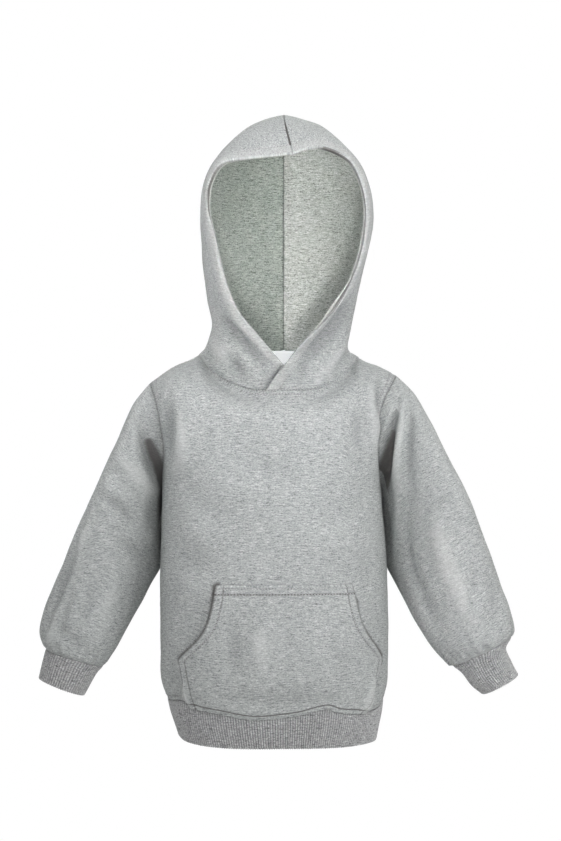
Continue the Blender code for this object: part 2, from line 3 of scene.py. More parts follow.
import bpy
import numpy as np
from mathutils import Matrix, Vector


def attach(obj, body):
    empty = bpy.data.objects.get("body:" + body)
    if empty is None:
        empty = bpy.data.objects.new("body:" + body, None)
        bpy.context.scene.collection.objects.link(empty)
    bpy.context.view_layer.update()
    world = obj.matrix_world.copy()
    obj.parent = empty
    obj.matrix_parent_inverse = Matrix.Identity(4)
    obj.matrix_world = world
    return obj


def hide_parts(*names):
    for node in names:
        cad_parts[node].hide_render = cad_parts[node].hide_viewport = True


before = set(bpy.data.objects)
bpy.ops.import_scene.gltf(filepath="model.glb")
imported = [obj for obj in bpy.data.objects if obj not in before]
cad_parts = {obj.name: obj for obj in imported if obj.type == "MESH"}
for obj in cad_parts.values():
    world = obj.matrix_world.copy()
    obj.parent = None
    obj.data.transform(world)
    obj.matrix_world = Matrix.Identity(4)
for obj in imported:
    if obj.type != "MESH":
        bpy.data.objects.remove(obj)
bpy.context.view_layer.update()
print("frame loaded:", len(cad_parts), "nodes")

mm = 0.001
clothThickness = 2.0
fine = 6  # how many grid cells stand for one coarse column of the pattern
nowhere = 99.0  # a distance, in millimetres, that means nothing is near
# in a grid of points, rows go up a piece and columns go round it anticlockwise


def spline(knots, positions):
    # smooth curve through the knots, positions counted in knots
    knots = np.asarray(knots, float)
    positions = np.asarray(positions, float)
    low = np.clip(np.floor(positions).astype(int), 0, len(knots) - 2)
    t = (positions - low).reshape((-1,) + (1,) * (knots.ndim - 1))
    padded = np.concatenate([[2 * knots[0] - knots[1]], knots, [2 * knots[-1] - knots[-2]]])
    a, b, c, d = (padded[low + step] for step in range(4))
    return b + 0.5 * t * (c - a + t * (2 * a - 5 * b + 4 * c - d + t * (3 * (b - c) + d - a)))


def unit(vectors):
    return vectors / np.maximum(np.linalg.norm(vectors, axis=-1, keepdims=True), 1e-9)


def smooth(x):
    x = np.clip(x, 0, 1)
    return x * x * (3 - 2 * x)


def bump(x):
    return np.exp(-x * x)


def gridNormals(grid, wrap):
    if wrap:
        across = np.roll(grid, -1, axis=1) - np.roll(grid, 1, axis=1)
    else:
        across = np.gradient(grid, axis=1)
    return unit(np.cross(across, np.gradient(grid, axis=0)))


def lengthsAlong(grid, axis):
    steps = np.linalg.norm(np.diff(grid, axis=axis), axis=-1)
    zero = np.zeros_like(np.take(steps, [0], axis=axis))
    return np.concatenate([zero, np.cumsum(steps, axis=axis)], axis=axis)


def levelHeights(grid):
    # height of each point, which follows the cloth instead where it lies flatter
    steps = np.diff(grid, axis=0)
    length = np.linalg.norm(steps, axis=-1)
    rise = np.abs(steps[..., 2])
    flatter = smooth((0.75 - rise / length) / 0.35)
    climbed = np.cumsum(rise + (length - rise) * flatter, axis=0)
    return grid[:1, :, 2] + np.concatenate([np.zeros_like(climbed[:1]), climbed])


def moreColumns(grid, count):
    # resamples closed rounds to a new number of columns
    columns = grid.shape[1]
    at = np.arange(count) * columns / count
    low = np.floor(at).astype(int)
    share = (at - low)[None, :, None]
    return grid[:, low % columns] * (1 - share) + grid[:, (low + 1) % columns] * share


# the same rows that shape the solid pieces, in millimetres
body = {
    "coarseColumns": 20,
    "shoulderColumns": 4,
    "rowsPerStation": 9,
    "shoulderRows": 30,
    "fullness": 2.6,
    "turn": 0.1,
    "armpit": 9,
    "pocketTop": 6,
    "pocketCorner": 2,
}
armpitRow, pocketTopRow, pocketCornerRow = (
    body[name] * body["rowsPerStation"] for name in ("armpit", "pocketTop", "pocketCorner")
)
side = body["shoulderColumns"] * fine
nape = body["coarseColumns"] // 2 * fine
lastColumn = body["coarseColumns"] * fine

# right x y z, left x y z down the sides: shared below the armpits, then apart
sideRows = [
    (-116, -10, -347, 108.5, 11, -350), (-121, -12, -326, 112, 12, -328),
    (-121.5, -12, -302, 112.3, 12, -308), (-121.5, -12, -287, 112.3, 12, -291),
    (-121.5, -12, -273, 112.3, 12, -275), (-121.5, -12, -252, 112, 12, -253),
    (-121.5, -11, -229, 111.5, 12, -230), (-121, -10, -198, 110.3, 12, -198),
    (-120, -9, -163, 107.5, 12, -163), (-119, -8, -128, 105, 12, -128),
]
frontArmhole = [
    (-117.5, -22, -112, 102, -3, -112), (-116.5, -36, -90, 99.5, -20, -90),
    (-119.5, -43, -65, 101, -30, -64),
]
backArmhole = [
    (-117.5, 8, -112, 102, 29, -112), (-117, 24, -90, 100, 46, -90),
    (-119, 32, -65, 101, 53, -64),
]
# mid x y z, pocket right, pocket left
frontRows = [
    (4, -91, -359, -89, 87), (5, -97, -332, -94, 97), (5, -98, -306, -98.5, 102),
    (5, -98, -290, -83, 90), (5, -97.5, -274, -71, 80), (5, -97, -252, -64.5, 74.5),
    (5, -96, -229.5, -62, 72.5), (5, -95, -198, -63, 71), (5, -94, -163, -66, 72),
    (5, -93, -128, -69, 73), (5, -91.5, -106, -72, 74), (4.5, -89, -84, -75, 75),
    (4, -85, -62, -78, 77),
]
backRows = [
    (-13, 84, -354, -82, 66), (-15, 90, -331, -84, 68), (-15, 92, -306, -84, 68),
    (-15, 92.5, -290, -84, 68), (-15, 93, -274, -84, 68), (-15, 93, -252, -84, 68),
    (-15, 93, -230, -84, 68), (-14, 93, -198, -84, 68), (-13, 93, -163, -84, 68),
    (-12, 92.5, -128, -84, 68), (-10, 91, -106, -83, 70), (-7, 88, -84, -82, 72),
    (-4, 83, -60, -81, 74),
]
shoulderRight = [(-133, -4, -24), (-107, 0, -7), (-82, 4, 2)]
shoulderLeft = [(82, 6, -1), (102, 5, -6.5), (121.5, 4, -17)]
neckFront = [
    (-82, 4, 2), (-66, -26, -14), (-30, -55, -31.5), (5, -62, -32),
    (39, -51, -30.5), (66, -24, -15), (82, 6, -1),
]
neckBack = [
    (-82, 4, 2), (-67, 32, 6), (-30, 52, 10.5), (5, 57, 12),
    (40, 52, 10.5), (71, 33, 6), (82, 6, -1),
]


def bodyRow(row):
    # one row across a panel, from the wearer's right to left
    halves = []
    middle, right, left = np.reshape(row[:9], (3, 3))
    for edge, pocketAt in ((right, row[9]), (left, row[10])):
        across = np.sin(np.linspace(0, np.pi / 2, 361))
        arch = (1 - across ** body["fullness"]) ** (1 / body["fullness"])
        line = edge + (middle - edge) * arch[:, None]
        line[:, 0] = middle[0] + (edge[0] - middle[0]) * across
        line[:, 1] += body["turn"] * (line[:, 0] - middle[0]) * arch
        length = lengthsAlong(line, 0)
        split = np.interp((pocketAt - middle[0]) / (edge[0] - middle[0]), across, length)
        wanted = np.concatenate(
            [np.linspace(0, split, nape - side + 1), np.linspace(split, length[-1], side + 1)[1:]]
        )
        halves.append(np.stack([np.interp(wanted, length, line[:, axis]) for axis in range(3)], 1))
    return np.concatenate([halves[0][::-1], halves[1][1:]])


def topEdge(neck):
    # shoulder, neck and shoulder, from the wearer's right to left
    shoulder = np.linspace(0, 2, side + 1)
    neckLine = spline(neck, np.linspace(0, len(neck) - 1, lastColumn - 2 * side + 1))
    return np.concatenate(
        [spline(shoulderRight, shoulder)[:-1], neckLine, spline(shoulderLeft, shoulder)[1:]]
    )


def withSides(table, sides):
    # each row's middle, then its two sides, then its pocket columns
    return np.array([row[:3] + ends + row[3:] for row, ends in zip(table, sides)], float)


def bodyPanel(table, neck, backwards):
    stations = np.linspace(0, len(table) - 1, (len(table) - 1) * body["rowsPerStation"] + 1)
    rows = spline(table, stations)
    corner = body["pocketCorner"]  # the pocket's outline has a corner here
    below = spline(table[: corner + 1, 9:], np.minimum(stations, corner))
    above = spline(table[corner:, 9:], np.maximum(stations - corner, 0))
    rows[:, 9:] = np.where((stations <= corner)[:, None], below, above)
    rows = np.array([bodyRow(row) for row in rows])
    top = topEdge(neck)
    chest = rows[-1]
    reach = np.linalg.norm(top - chest, axis=1, keepdims=True)
    leaving = unit(rows[-1] - rows[-2]) * reach
    columns = np.abs(np.linspace(-1, 1, len(top)))
    neckShare = 1 - 2 * body["shoulderColumns"] / body["coarseColumns"]
    over = np.clip(columns / neckShare, 0, 1)[:, None] ** 2
    ontoNeck = unit(np.array([0, 0.45 * backwards, 0.9]))
    ontoShoulder = unit(np.array([0, backwards, 0.1]))
    arriving = unit(ontoNeck + (ontoShoulder - ontoNeck) * over) * reach
    closing = []
    for t in np.linspace(0, 1, body["shoulderRows"] + 1)[1:]:
        closing.append(
            (2 * t**3 - 3 * t**2 + 1) * chest
            + (t**3 - 2 * t**2 + t) * leaving
            + (3 * t**2 - 2 * t**3) * top
            + (t**3 - t**2) * arriving
        )
    return np.concatenate([rows, closing])


# how far the hem's seam rides up (x, rise), in front and behind
hemWaveFront = [
    (-118, 0), (-99, 8), (-85, 4), (-58, 1), (-27, -4), (-3, -3),
    (19, 0), (46, 6), (61, 1), (86, -3.5), (106, -4), (118, 0),
]
hemWaveBack = [
    (-118, 0), (-90, -3), (-62, 3), (-30, -2), (4, 4), (36, -1), (70, 3), (96, -3), (118, 0),
]
hemWaveReach = 34.0


def ridingUp(grid, share):
    # lifts points near the hem's seam; share is 1 on the seam
    rise = 0
    for table, facing in ((hemWaveFront, -1), (hemWaveBack, 1)):
        places, heights = np.array(table).T
        at = np.linspace(0, len(table) - 1, 161)
        height = np.interp(grid[..., 0], spline(places, at), spline(heights, at))
        rise = rise + height * smooth(facing * (grid[..., 1] - 8) / 50)
    moved = grid.copy()
    moved[..., 2] += rise * share
    return moved


def withHemWave(grid):
    up = lengthsAlong(grid, 0)
    return ridingUp(grid, smooth(1 - up / hemWaveReach))


front = withHemWave(bodyPanel(withSides(frontRows, sideRows + frontArmhole), neckFront, 1))
back = withHemWave(bodyPanel(withSides(backRows, sideRows + backArmhole), neckBack, -1))

sleeves = {
    "rows": 118,
    "gathers": 23,
    "gatherDepth": 2.1,
    "gatherBunch": 1.5,
    "bunchAt": 174.0,
    "gatherReach": 30.0,
    "gatherSeed": 11,
    "bunchWidth": 18.0,
}

# outer x z, inner x z, depth, middle y, turn of the inner edge to the back, shoulder to wrist
sleeveRight = [
    (-147.5, -44, -122, -138, 45, -7, -15),
    (-158.6, -69, -121.4, -160, 47, -8, -30),
    (-174.8, -105, -121.8, -186, 47, -9, -36),
    (-194.6, -150, -122.2, -210, 47, -11, -36),
    (-214.8, -196, -134.5, -233, 45, -13, -26),
    (-230.2, -232, -146, -255, 43, -15, -13),
    (-242.6, -261, -158, -277, 40, -16, -4),
    (-246, -281, -170, -299, 36, -17, 0),
    (-239.5, -298.5, -182, -316, 29, -17, 0),
]
cuffRight = [
    (-241.5, -308, -189.5, -324, 26.5, -17, 0),
    (-246.5, -328, -201.5, -345.3, 24, -18, 0),
]
sleeveLeft = [
    (140, -36, 107.2, -138, 46, 10, -17),
    (155.4, -63, 108.4, -160, 48, 8, -30),
    (173, -100, 110.1, -184, 48, 6, -36),
    (194.7, -144, 111.2, -207, 47, 3, -36),
    (213.6, -192, 120.5, -229, 46, 0, -26),
    (226.5, -227, 132, -252, 44, -3, -13),
    (237, -256, 145, -276, 41, -5, -4),
    (242, -276, 160, -297, 37, -7, 0),
    (240, -287, 181, -316, 30, -8, 0),
]
cuffLeft = [
    (234, -299, 191, -323.5, 26, -8, 0),
    (240, -314, 200, -336, 25, -9, 0),
    (246.5, -325.5, 210.5, -345, 24, -10, 0),
]


def armhole(wearersLeft):
    column = -1 if wearersLeft else 0
    frontEdge, backEdge = front[armpitRow:, column], back[armpitRow:, column]
    down, up = (backEdge, frontEdge) if wearersLeft else (frontEdge, backEdge)
    return np.concatenate([down[::-1], up[1:-1]])


def ringPoints(ring, count, wearersLeft):
    outer = np.array([ring[0], 0, ring[1]])
    inner = np.array([ring[2], 0, ring[3]])
    middle = (outer + inner) / 2 + [0, ring[5], 0]
    depth = np.array([0, ring[4] if wearersLeft else -ring[4], 0])
    angle = np.linspace(0, 2 * np.pi, count, endpoint=False)[:, None]
    across = (outer - inner) / 2 + [0, ring[6], 0]
    return middle + across * np.cos(angle) + depth * np.sin(angle)


def sleeve(rings, wearersLeft):
    hole = armhole(wearersLeft)
    knots = np.array([hole] + [ringPoints(ring, len(hole), wearersLeft) for ring in rings])
    return spline(knots, np.linspace(len(rings), 0, sleeves["rows"] + 1))


sleeveGridRight = sleeve(sleeveRight, False)
sleeveGridLeft = sleeve(sleeveLeft, True)

hood = {
    "frontColumns": 7,
    "backColumns": 6,
    "rowsPerStation": 9,
    "middle": 5.0,
    "overlap": 5.0,
    "overlapFade": 8.0,
    "hemWidth": 11.5,
    "hemExtra": 1.0,
    "hemRise": 0.35,
    "lipHeights": (-20, 20, 60, 110, 130, 170, 195, 210, 222),
    # painted shadow shades at those heights, then how far out they start and over what width
    "lipLeft": ((0.0, 0.5, 0.8, 0.7, 0.7, 0.8, 0.6, 1.0, 1.0), 36, 10),
    "lipRight": ((0.0, 0.0, 0.0, 0.2, 0.8, 0.9, 0.7, 0.4, 0.0), 48, 14),
    "stripExtra": 4.6,
}

# edge x y z, side x y z; behind them back y z and flatness of the crown, the same for both
hoodLeftRows = [
    (5, -73, -8, 71, 1, 12),
    (27, -80, 18, 75, 2, 37),
    (58, -84, 50, 80, 1, 63),
    (77.5, -85, 87, 86, 0, 93),
    (86.5, -84, 120, 93.5, -2, 124),
    (88.5, -82, 149, 96.2, -5, 152),
    (84, -80, 174, 91.5, -6, 182),
    (71, -78, 200, 76.5, -8, 212.5),
    (43.5, -77, 212, 48, -10, 239),
    (28, -76.5, 211, 24.5, -12, 248),
    (13.6, -76, 207, 5, -14, 252.5),
]
hoodRightRows = [
    (5, -73, -8, -75, 0, 13),
    (-20, -79, 21, -68.5, 0, 37),
    (-43, -83, 50, -74, 0, 64),
    (-56, -84, 84, -77.5, -1, 94),
    (-64.5, -83, 120, -79.5, -3, 124),
    (-72.5, -81, 150, -80.5, -5, 152),
    (-70.5, -79, 177, -77, -6, 181),
    (-57, -77, 197.5, -62, -8, 211),
    (-28, -76, 203, -35, -10, 236.5),
    (-6, -76, 205, -15, -12, 247.5),
    (13.6, -76, 207, 5, -14, 252.5),
]
hoodBackRows = [
    (64, 30, 0), (72, 50, 0), (81, 74, 0), (89, 102, 0), (94, 130, 0), (96, 156, 0),
    (93, 183, 0.1), (85, 208, 0.3), (76, 226, 0.6), (66, 236, 0.8), (55, 241.5, 0.9),
]


def hoodLine(row):
    # one line round half of the hood, from its front edge to the seam down the back
    edgeX, edgeY, edgeZ, sideX, sideY, sideZ, backY, backZ, flat = row
    t = np.linspace(0, 1, hood["frontColumns"] * fine + 1)
    bend = np.sin(t * np.pi / 2)
    ahead = (1 - flat) * np.cos(t * np.pi / 2) + flat * (1 - t)
    x = edgeX + (sideX - edgeX) * bend
    y = sideY + (edgeY - sideY) * ahead
    z = edgeZ + (sideZ - edgeZ) * (t + bend) / 2
    beforeSide = np.stack([x, y, z], 1)
    t = np.linspace(0, 1, hood["backColumns"] * fine + 1)[1:]
    x = hood["middle"] + (sideX - hood["middle"]) * np.cos(t * np.pi / 2)
    y = sideY + (backY - sideY) * ((1 - flat) * np.sin(t * np.pi / 2) + flat * t)
    z = sideZ + (backZ - sideZ) * t**2
    return np.concatenate([beforeSide, np.stack([x, y, z], 1)])


def hoodHalf(table, neckLine, wearersLeft):
    lines = [hoodLine(row + behind) for row, behind in zip(table, hoodBackRows)]
    knots = np.array([neckLine] + lines)
    grid = spline(knots, np.linspace(0, len(table), len(table) * hood["rowsPerStation"] + 1))
    return grid if wearersLeft else grid[:, ::-1]


def tuckBehind(right, leftEdge):
    # the right front lies behind the left front where they lap
    foot, crossing = leftEdge[0], leftEdge[hood["rowsPerStation"]]
    run = unit((crossing - foot)[[0, 2]])
    covered = (right[..., 0] - foot[0]) * run[1] - (right[..., 2] - foot[2]) * run[0]
    share = smooth((covered + hood["overlapFade"] + 1) / hood["overlapFade"])
    height = smooth((crossing[2] + 2 * hood["overlapFade"] - right[..., 2]) / hood["overlapFade"])
    moved = right.copy()
    moved[..., 1] += np.where(right[..., 1] < 0, hood["overlap"] * share * height, 0)
    return moved


neckLeft = np.concatenate(
    [front[-1, nape - fine : lastColumn - side + 1], back[-1, nape : lastColumn - side][::-1]]
)
neckRight = np.concatenate([front[-1, side : nape + fine + 1][::-1], back[-1, side + 1 : nape + 1]])
hoodGridLeft = hoodHalf(hoodLeftRows, neckLeft, True)
hoodGridRight = tuckBehind(hoodHalf(hoodRightRows, neckRight, False), hoodGridLeft[:, 0])
print("pattern drawn")


def makePiece(name, group, grid, wrap, sewn, free=()):
    # sewn and free name the sides of the grid; wrap closes it into a tube
    up = lengthsAlong(grid, 0)
    across = lengthsAlong(grid, 1)
    return {
        "name": name,
        "group": group,
        "grid": grid,
        "wrap": wrap,
        "sewn": sewn,
        "free": free,
        "normals": gridNormals(grid, wrap),
        "away": {  # millimetres from each side
            "bottom": up,
            "top": up[-1] - up,
            "first": across,
            "last": across[:, -1:] - across,
        },
    }


allSides = ("bottom", "top", "first", "last")
pieces = {
    row[0]: makePiece(*row)
    for row in (
        ("front", "body", front, False, allSides),
        ("back", "body", back[:, ::-1], False, allSides),
        ("hood_left", "hood", hoodGridLeft, False, ("bottom", "top", "last"), ("first",)),
        ("hood_right", "hood", hoodGridRight, False, ("bottom", "top", "first"), ("last",)),
        ("sleeve_left", "sleeve", sleeveGridLeft, True, ("bottom", "top")),
        ("sleeve_right", "sleeve", sleeveGridRight, True, ("bottom", "top")),
    )
}


def nearest(piece, sides):
    return np.min([piece["away"][name] for name in sides], axis=0)


# soft troughs, listed by piece and side:
# from x z, through x z, to x z, width, depth (ridges below zero)
creases = {
    ("hood_right", "front"): (
        (-54, 38, -38, 17, -20, -6, 6, 5), (-46, 4, -45, -6, -42, -18, 7, 3),
        (-74, 92, -66, 56, -50, 22, 7, 1.6), (-50, -2, -38, -10, -30, -24, 9, 1.6),
        (-70, 24, -58, 8, -44, -8, 8, -1.8),
    ),
    ("hood_left", "front"): (
        (78, 66, 56, 30, 28, -2, 8, 5), (66, 8, 54, -4, 42, -20, 8, -2),
        (80, 20, 66, 2, 50, -12, 7, 1.8), (30, -6, 25, -16, 18, -28, 8, 2.2),
    ),
    ("hood_right", "back"): (
        (-66, 34, -44, 58, -16, 96, 13, 3.2), (-72, 60, -52, 92, -34, 130, 12, 1.8),
    ),
    ("hood_left", "back"): (
        (66, 32, 48, 54, 24, 90, 13, 3.2), (82, 76, 66, 104, 54, 146, 12, 1.6),
        (20, 150, 40, 190, 40, 226, 16, 1.4),
    ),
    ("front", "front"): (
        (-113, -40, -112, -66, -114, -98, 7, 2.8), (-100, -58, -98, -84, -102, -122, 9, -1.8),
        (105, -20, 103, -40, 104, -60, 6, 2.8), (95, -34, 97, -70, 100, -120, 8, -2.2),
        (84, -44, 80, -74, 86, -108, 10, 1.6), (-46, -92, -6, -112, 40, -118, 20, 1.6),
        (-96, -128, -70, -150, -44, -160, 14, 1.5), (94, -132, 70, -152, 36, -166, 15, 1.5),
        (-104, -190, -82, -206, -56, -210, 13, 1.6), (98, -206, 78, -216, 40, -210, 14, 1.3),
        (-52, -268, -44, -294, -40, -322, 13, 2), (-16, -262, -20, -292, -30, -318, 12, -1.4),
        (46, -270, 60, -300, 66, -330, 14, 1.5), (-60, -338, 4, -343, 66, -339, 9, 2),
        (-95, -330, -93, -344, -88, -362, 3.6, -3), (93, -326, 89, -342, 84, -364, 3.6, -3),
        (-108, -300, -106, -322, -104, -344, 7, 1.6), (104, -318, 101, -332, 99, -346, 6, 1.8),
    ),
    ("back", "back"): (
        (-106, -52, -98, -90, -86, -138, 13, 3.4), (-86, -66, -74, -104, -66, -150, 12, -1.8),
        (94, -50, 86, -88, 74, -132, 13, 3.4), (74, -64, 62, -100, 54, -148, 12, -1.8),
        (-70, -292, -16, -312, 40, -322, 15, 2.8), (-50, -334, 0, -340, 52, -338, 9, 2),
        (-50, -146, 10, -168, 66, -176, 19, 2.2), (-92, -204, -40, -222, 10, -226, 16, 1.7),
        (84, -226, 50, -250, 0, -262, 15, 1.9), (-60, -20, 0, -34, 60, -22, 12, 1.8),
    ),
    ("sleeve_right", "front"): (
        (-141, -72, -132, -94, -123, -118, 7, 3.2), (-163, -99, -145, -120, -129, -142, 9, -2.2),
        (-184, -138, -160, -152, -142, -172, 6, 2.6), (-150, -152, -141, -166, -132, -186, 6, -1.8),
        (-186, -150, -200, -190, -214, -238, 3.4, -2.3),
        (-210, -224, -224, -258, -234, -290, 3.4, -2.8),
        (-164, -178, -150, -196, -134, -206, 8, 1.8), (-204, -190, -216, -228, -228, -268, 8, 2.4),
        (-186, -214, -192, -246, -204, -286, 11, 1.7),
        (-168, -226, -180, -254, -190, -292, 9, -1.5), (-230, -268, -214, -284, -196, -300, 7, 1.5),
    ),
    ("sleeve_right", "back"): (
        (-150, -120, -166, -176, -196, -244, 12, 3.2), (-172, -134, -190, -190, -212, -232, 11, -2),
        (-140, -168, -160, -190, -190, -200, 8, 2), (-164, -238, -184, -262, -210, -272, 9, 1.8),
    ),
    ("sleeve_left", "front"): (
        (128, -40, 124, -100, 128, -190, 5, -2.4), (119, -58, 113, -92, 108, -124, 5, 5),
        (135, -42, 133, -88, 133, -140, 5, 1.6), (129, -142, 137, -208, 164, -278, 5, 2.4),
        (158, -160, 174, -214, 198, -272, 12, -2.2), (195, -212, 197, -232, 198, -256, 5, 1.6),
        (214, -216, 220, -244, 222, -272, 8, 1.6), (176, -128, 164, -150, 146, -160, 8, 1.5),
    ),
    ("sleeve_left", "back"): (
        (140, -118, 156, -176, 188, -246, 12, 3.2), (164, -126, 182, -184, 206, -232, 11, -2),
        (128, -164, 150, -188, 178, -196, 8, 2), (158, -236, 182, -260, 206, -268, 9, 1.8),
    ),
}
creaseStyle = {
    "fadeAtSeam": 9.0,
    "depth": 1.7,
    "shoulders": 0.3,  # small ridges that rise beside a trough
    "steps": 24,  # points along a crease, less one
    "ripple": 0.8,
    "rippleSeed": 5,
    "rippleSizes": (95.0, 62.0, 41.0, 27.0),
}


def creaseDepth(piece):
    total = np.zeros(piece["grid"].shape[:2])
    flat = piece["grid"][..., [0, 2]]
    for facing, label in ((-1, "front"), (1, "back")):
        seen = smooth(piece["normals"][..., 1] * facing * 2.5)
        for x0, z0, x1, z1, x2, z2, width, depth in creases.get((piece["name"], label), ()):
            knots = np.array([(x0, z0), (x1, z1), (x2, z2)], float)
            path = spline(knots, np.linspace(0, 2, creaseStyle["steps"] + 1))
            steps = np.linalg.norm(flat[:, :, None] - path[None, None], axis=-1)
            along = steps.argmin(axis=-1) / creaseStyle["steps"]
            taper = np.sin(np.pi * np.clip(along * 0.9 + 0.05, 0, 1)) ** 0.6
            away = steps.min(axis=-1) / (width * (0.75 + 0.5 * along))
            shape = bump(away) - creaseStyle["shoulders"] * bump((away - 1.9) / 0.8)
            total += depth * taper * shape * seen
    fade = smooth(nearest(piece, piece["sewn"]) / creaseStyle["fadeAtSeam"])
    return -creaseStyle["depth"] * total * fade


def ripple(points):
    # slow unevenness, the same wherever two pieces meet
    draw = np.random.default_rng(creaseStyle["rippleSeed"])
    total = np.zeros(points.shape[:-1])
    for size in creaseStyle["rippleSizes"]:
        for turn in range(4):
            way = unit(draw.normal(size=3))
            total += np.sin(points @ way * 2 * np.pi / size + draw.uniform(0, 6.3)) * size / 95
    return total / 4


seamStyle = {
    "sink": 0.35,
    "sinkWidth": 1.8,
    "neckFill": 2.4,
    "neckFillWidth": 9.0,
    "hemSink": 1.2,
    "hemSinkWidth": 9.0,
    "pucker": 0.32,
    "puckerPitch": 7.3,
}


def sidePoints(piece):
    # every point on a side of a piece's grid, with its rounded place as a key
    rows, columns = piece["grid"].shape[:2]
    spots = [(row, column) for row in (0, -1) for column in range(columns)]
    if not piece["wrap"]:
        spots += [(row, column) for column in (0, -1) for row in range(rows)]
    return [(spot, tuple(np.round(piece["grid"][spot], 2))) for spot in spots]


def shareNormals():
    # where two pieces meet, their points get the same way out
    total = {}
    for piece in pieces.values():
        for spot, key in sidePoints(piece):
            total[key] = total.get(key, 0) + piece["normals"][spot]
    for piece in pieces.values():
        for spot, key in sidePoints(piece):
            piece["normals"][spot] = unit(total[key])


shareNormals()
for piece in pieces.values():
    piece["fold"] = creaseDepth(piece)


def gathers(piece):
    # small uneven pleats where a sleeve is taken in to its cuff
    columns = piece["grid"].shape[1]
    draw = np.random.default_rng(sleeves["gatherSeed"])
    around = np.linspace(0, 1, columns, endpoint=False)
    phase = around * sleeves["gathers"] + 0.35 * np.sin(around * 2 * np.pi * 3 + draw.uniform(0, 6))
    strength = 0.6 + 0.4 * np.sin(around * 2 * np.pi * 5 + draw.uniform(0, 6))
    reach = sleeves["gatherReach"] * (0.7 + 0.5 * np.sin(around * 2 * np.pi * 7 + 1) ** 2)
    up = piece["away"]["bottom"]
    rise = smooth(up / 5) * smooth(1 - up / reach[None])
    # the wearer's left sleeve is bunched at its inner side
    fromBunch = (piece["grid"][..., 0] - sleeves["bunchAt"]) / sleeves["bunchWidth"]
    bunch = 1 + sleeves["gatherBunch"] * bump(fromBunch)
    pleat = 1 - 2 * (0.5 - 0.5 * np.sin(phase * 2 * np.pi)) ** 1.7
    return sleeves["gatherDepth"] * pleat * strength * rise * bunch


def nearNeck(piece):
    # millimetres from the seam between the body and the hood
    if piece["group"] == "hood":
        return piece["away"]["bottom"]
    if piece["group"] != "body":
        return np.full(piece["grid"].shape[:2], nowhere)
    column = np.arange(piece["grid"].shape[1])
    outside = np.maximum(np.maximum(side - column, column - (lastColumn - side)), 0)
    return np.hypot(piece["away"]["top"], outside[None] * 2.5)


def wallOf(piece, thick):
    # outer and inner points of a piece, in millimetres
    grid, normals = piece["grid"], piece["normals"]
    fromSeam = nearest(piece, piece["sewn"])
    height = clothThickness / 2 + piece["fold"] + creaseStyle["ripple"] * ripple(grid)
    height -= seamStyle["sink"] * bump(fromSeam / seamStyle["sinkWidth"])
    slant = grid[..., 0] + 0.8 * grid[..., 2] + 0.6 * grid[..., 1]
    wave = np.sin(slant * 2 * np.pi / seamStyle["puckerPitch"])
    wave *= 0.6 + 0.4 * np.sin((grid[..., 0] - grid[..., 2]) / 9)
    height += seamStyle["pucker"] * wave * bump((fromSeam - 5) / 3.5)
    height += seamStyle["neckFill"] * bump(nearNeck(piece) / seamStyle["neckFillWidth"])
    if piece["group"] == "body":
        height -= seamStyle["hemSink"] * bump(piece["away"]["bottom"] / seamStyle["hemSinkWidth"])
    if piece["group"] == "sleeve":
        height += gathers(piece)
    outer = grid + normals * height[..., None]
    return outer, outer - normals * np.asarray(thick)[..., None]


def addObject(name, data):
    thing = bpy.data.objects.new(name, data)
    bpy.context.scene.collection.objects.link(thing)
    return thing


def addMesh(name, points, faces, slots, uvs, facts, finishes):
    mesh = bpy.data.meshes.new(name)
    mesh.from_pydata((points * mm).tolist(), [], faces.tolist())
    mesh.polygons.foreach_set("material_index", slots.astype(np.int32))
    layer = mesh.uv_layers.new(name="cloth")
    layer.data.foreach_set("uv", (uvs.reshape(-1, 2) * mm).astype(np.float32).ravel())
    for label, values in facts.items():
        fact = mesh.attributes.new(label, "FLOAT", "POINT")
        fact.data.foreach_set("value", values.astype(np.float32))
    mesh.shade_smooth()
    mesh.validate()
    for finish in finishes:
        mesh.materials.append(finish)
    return addObject(name, mesh)


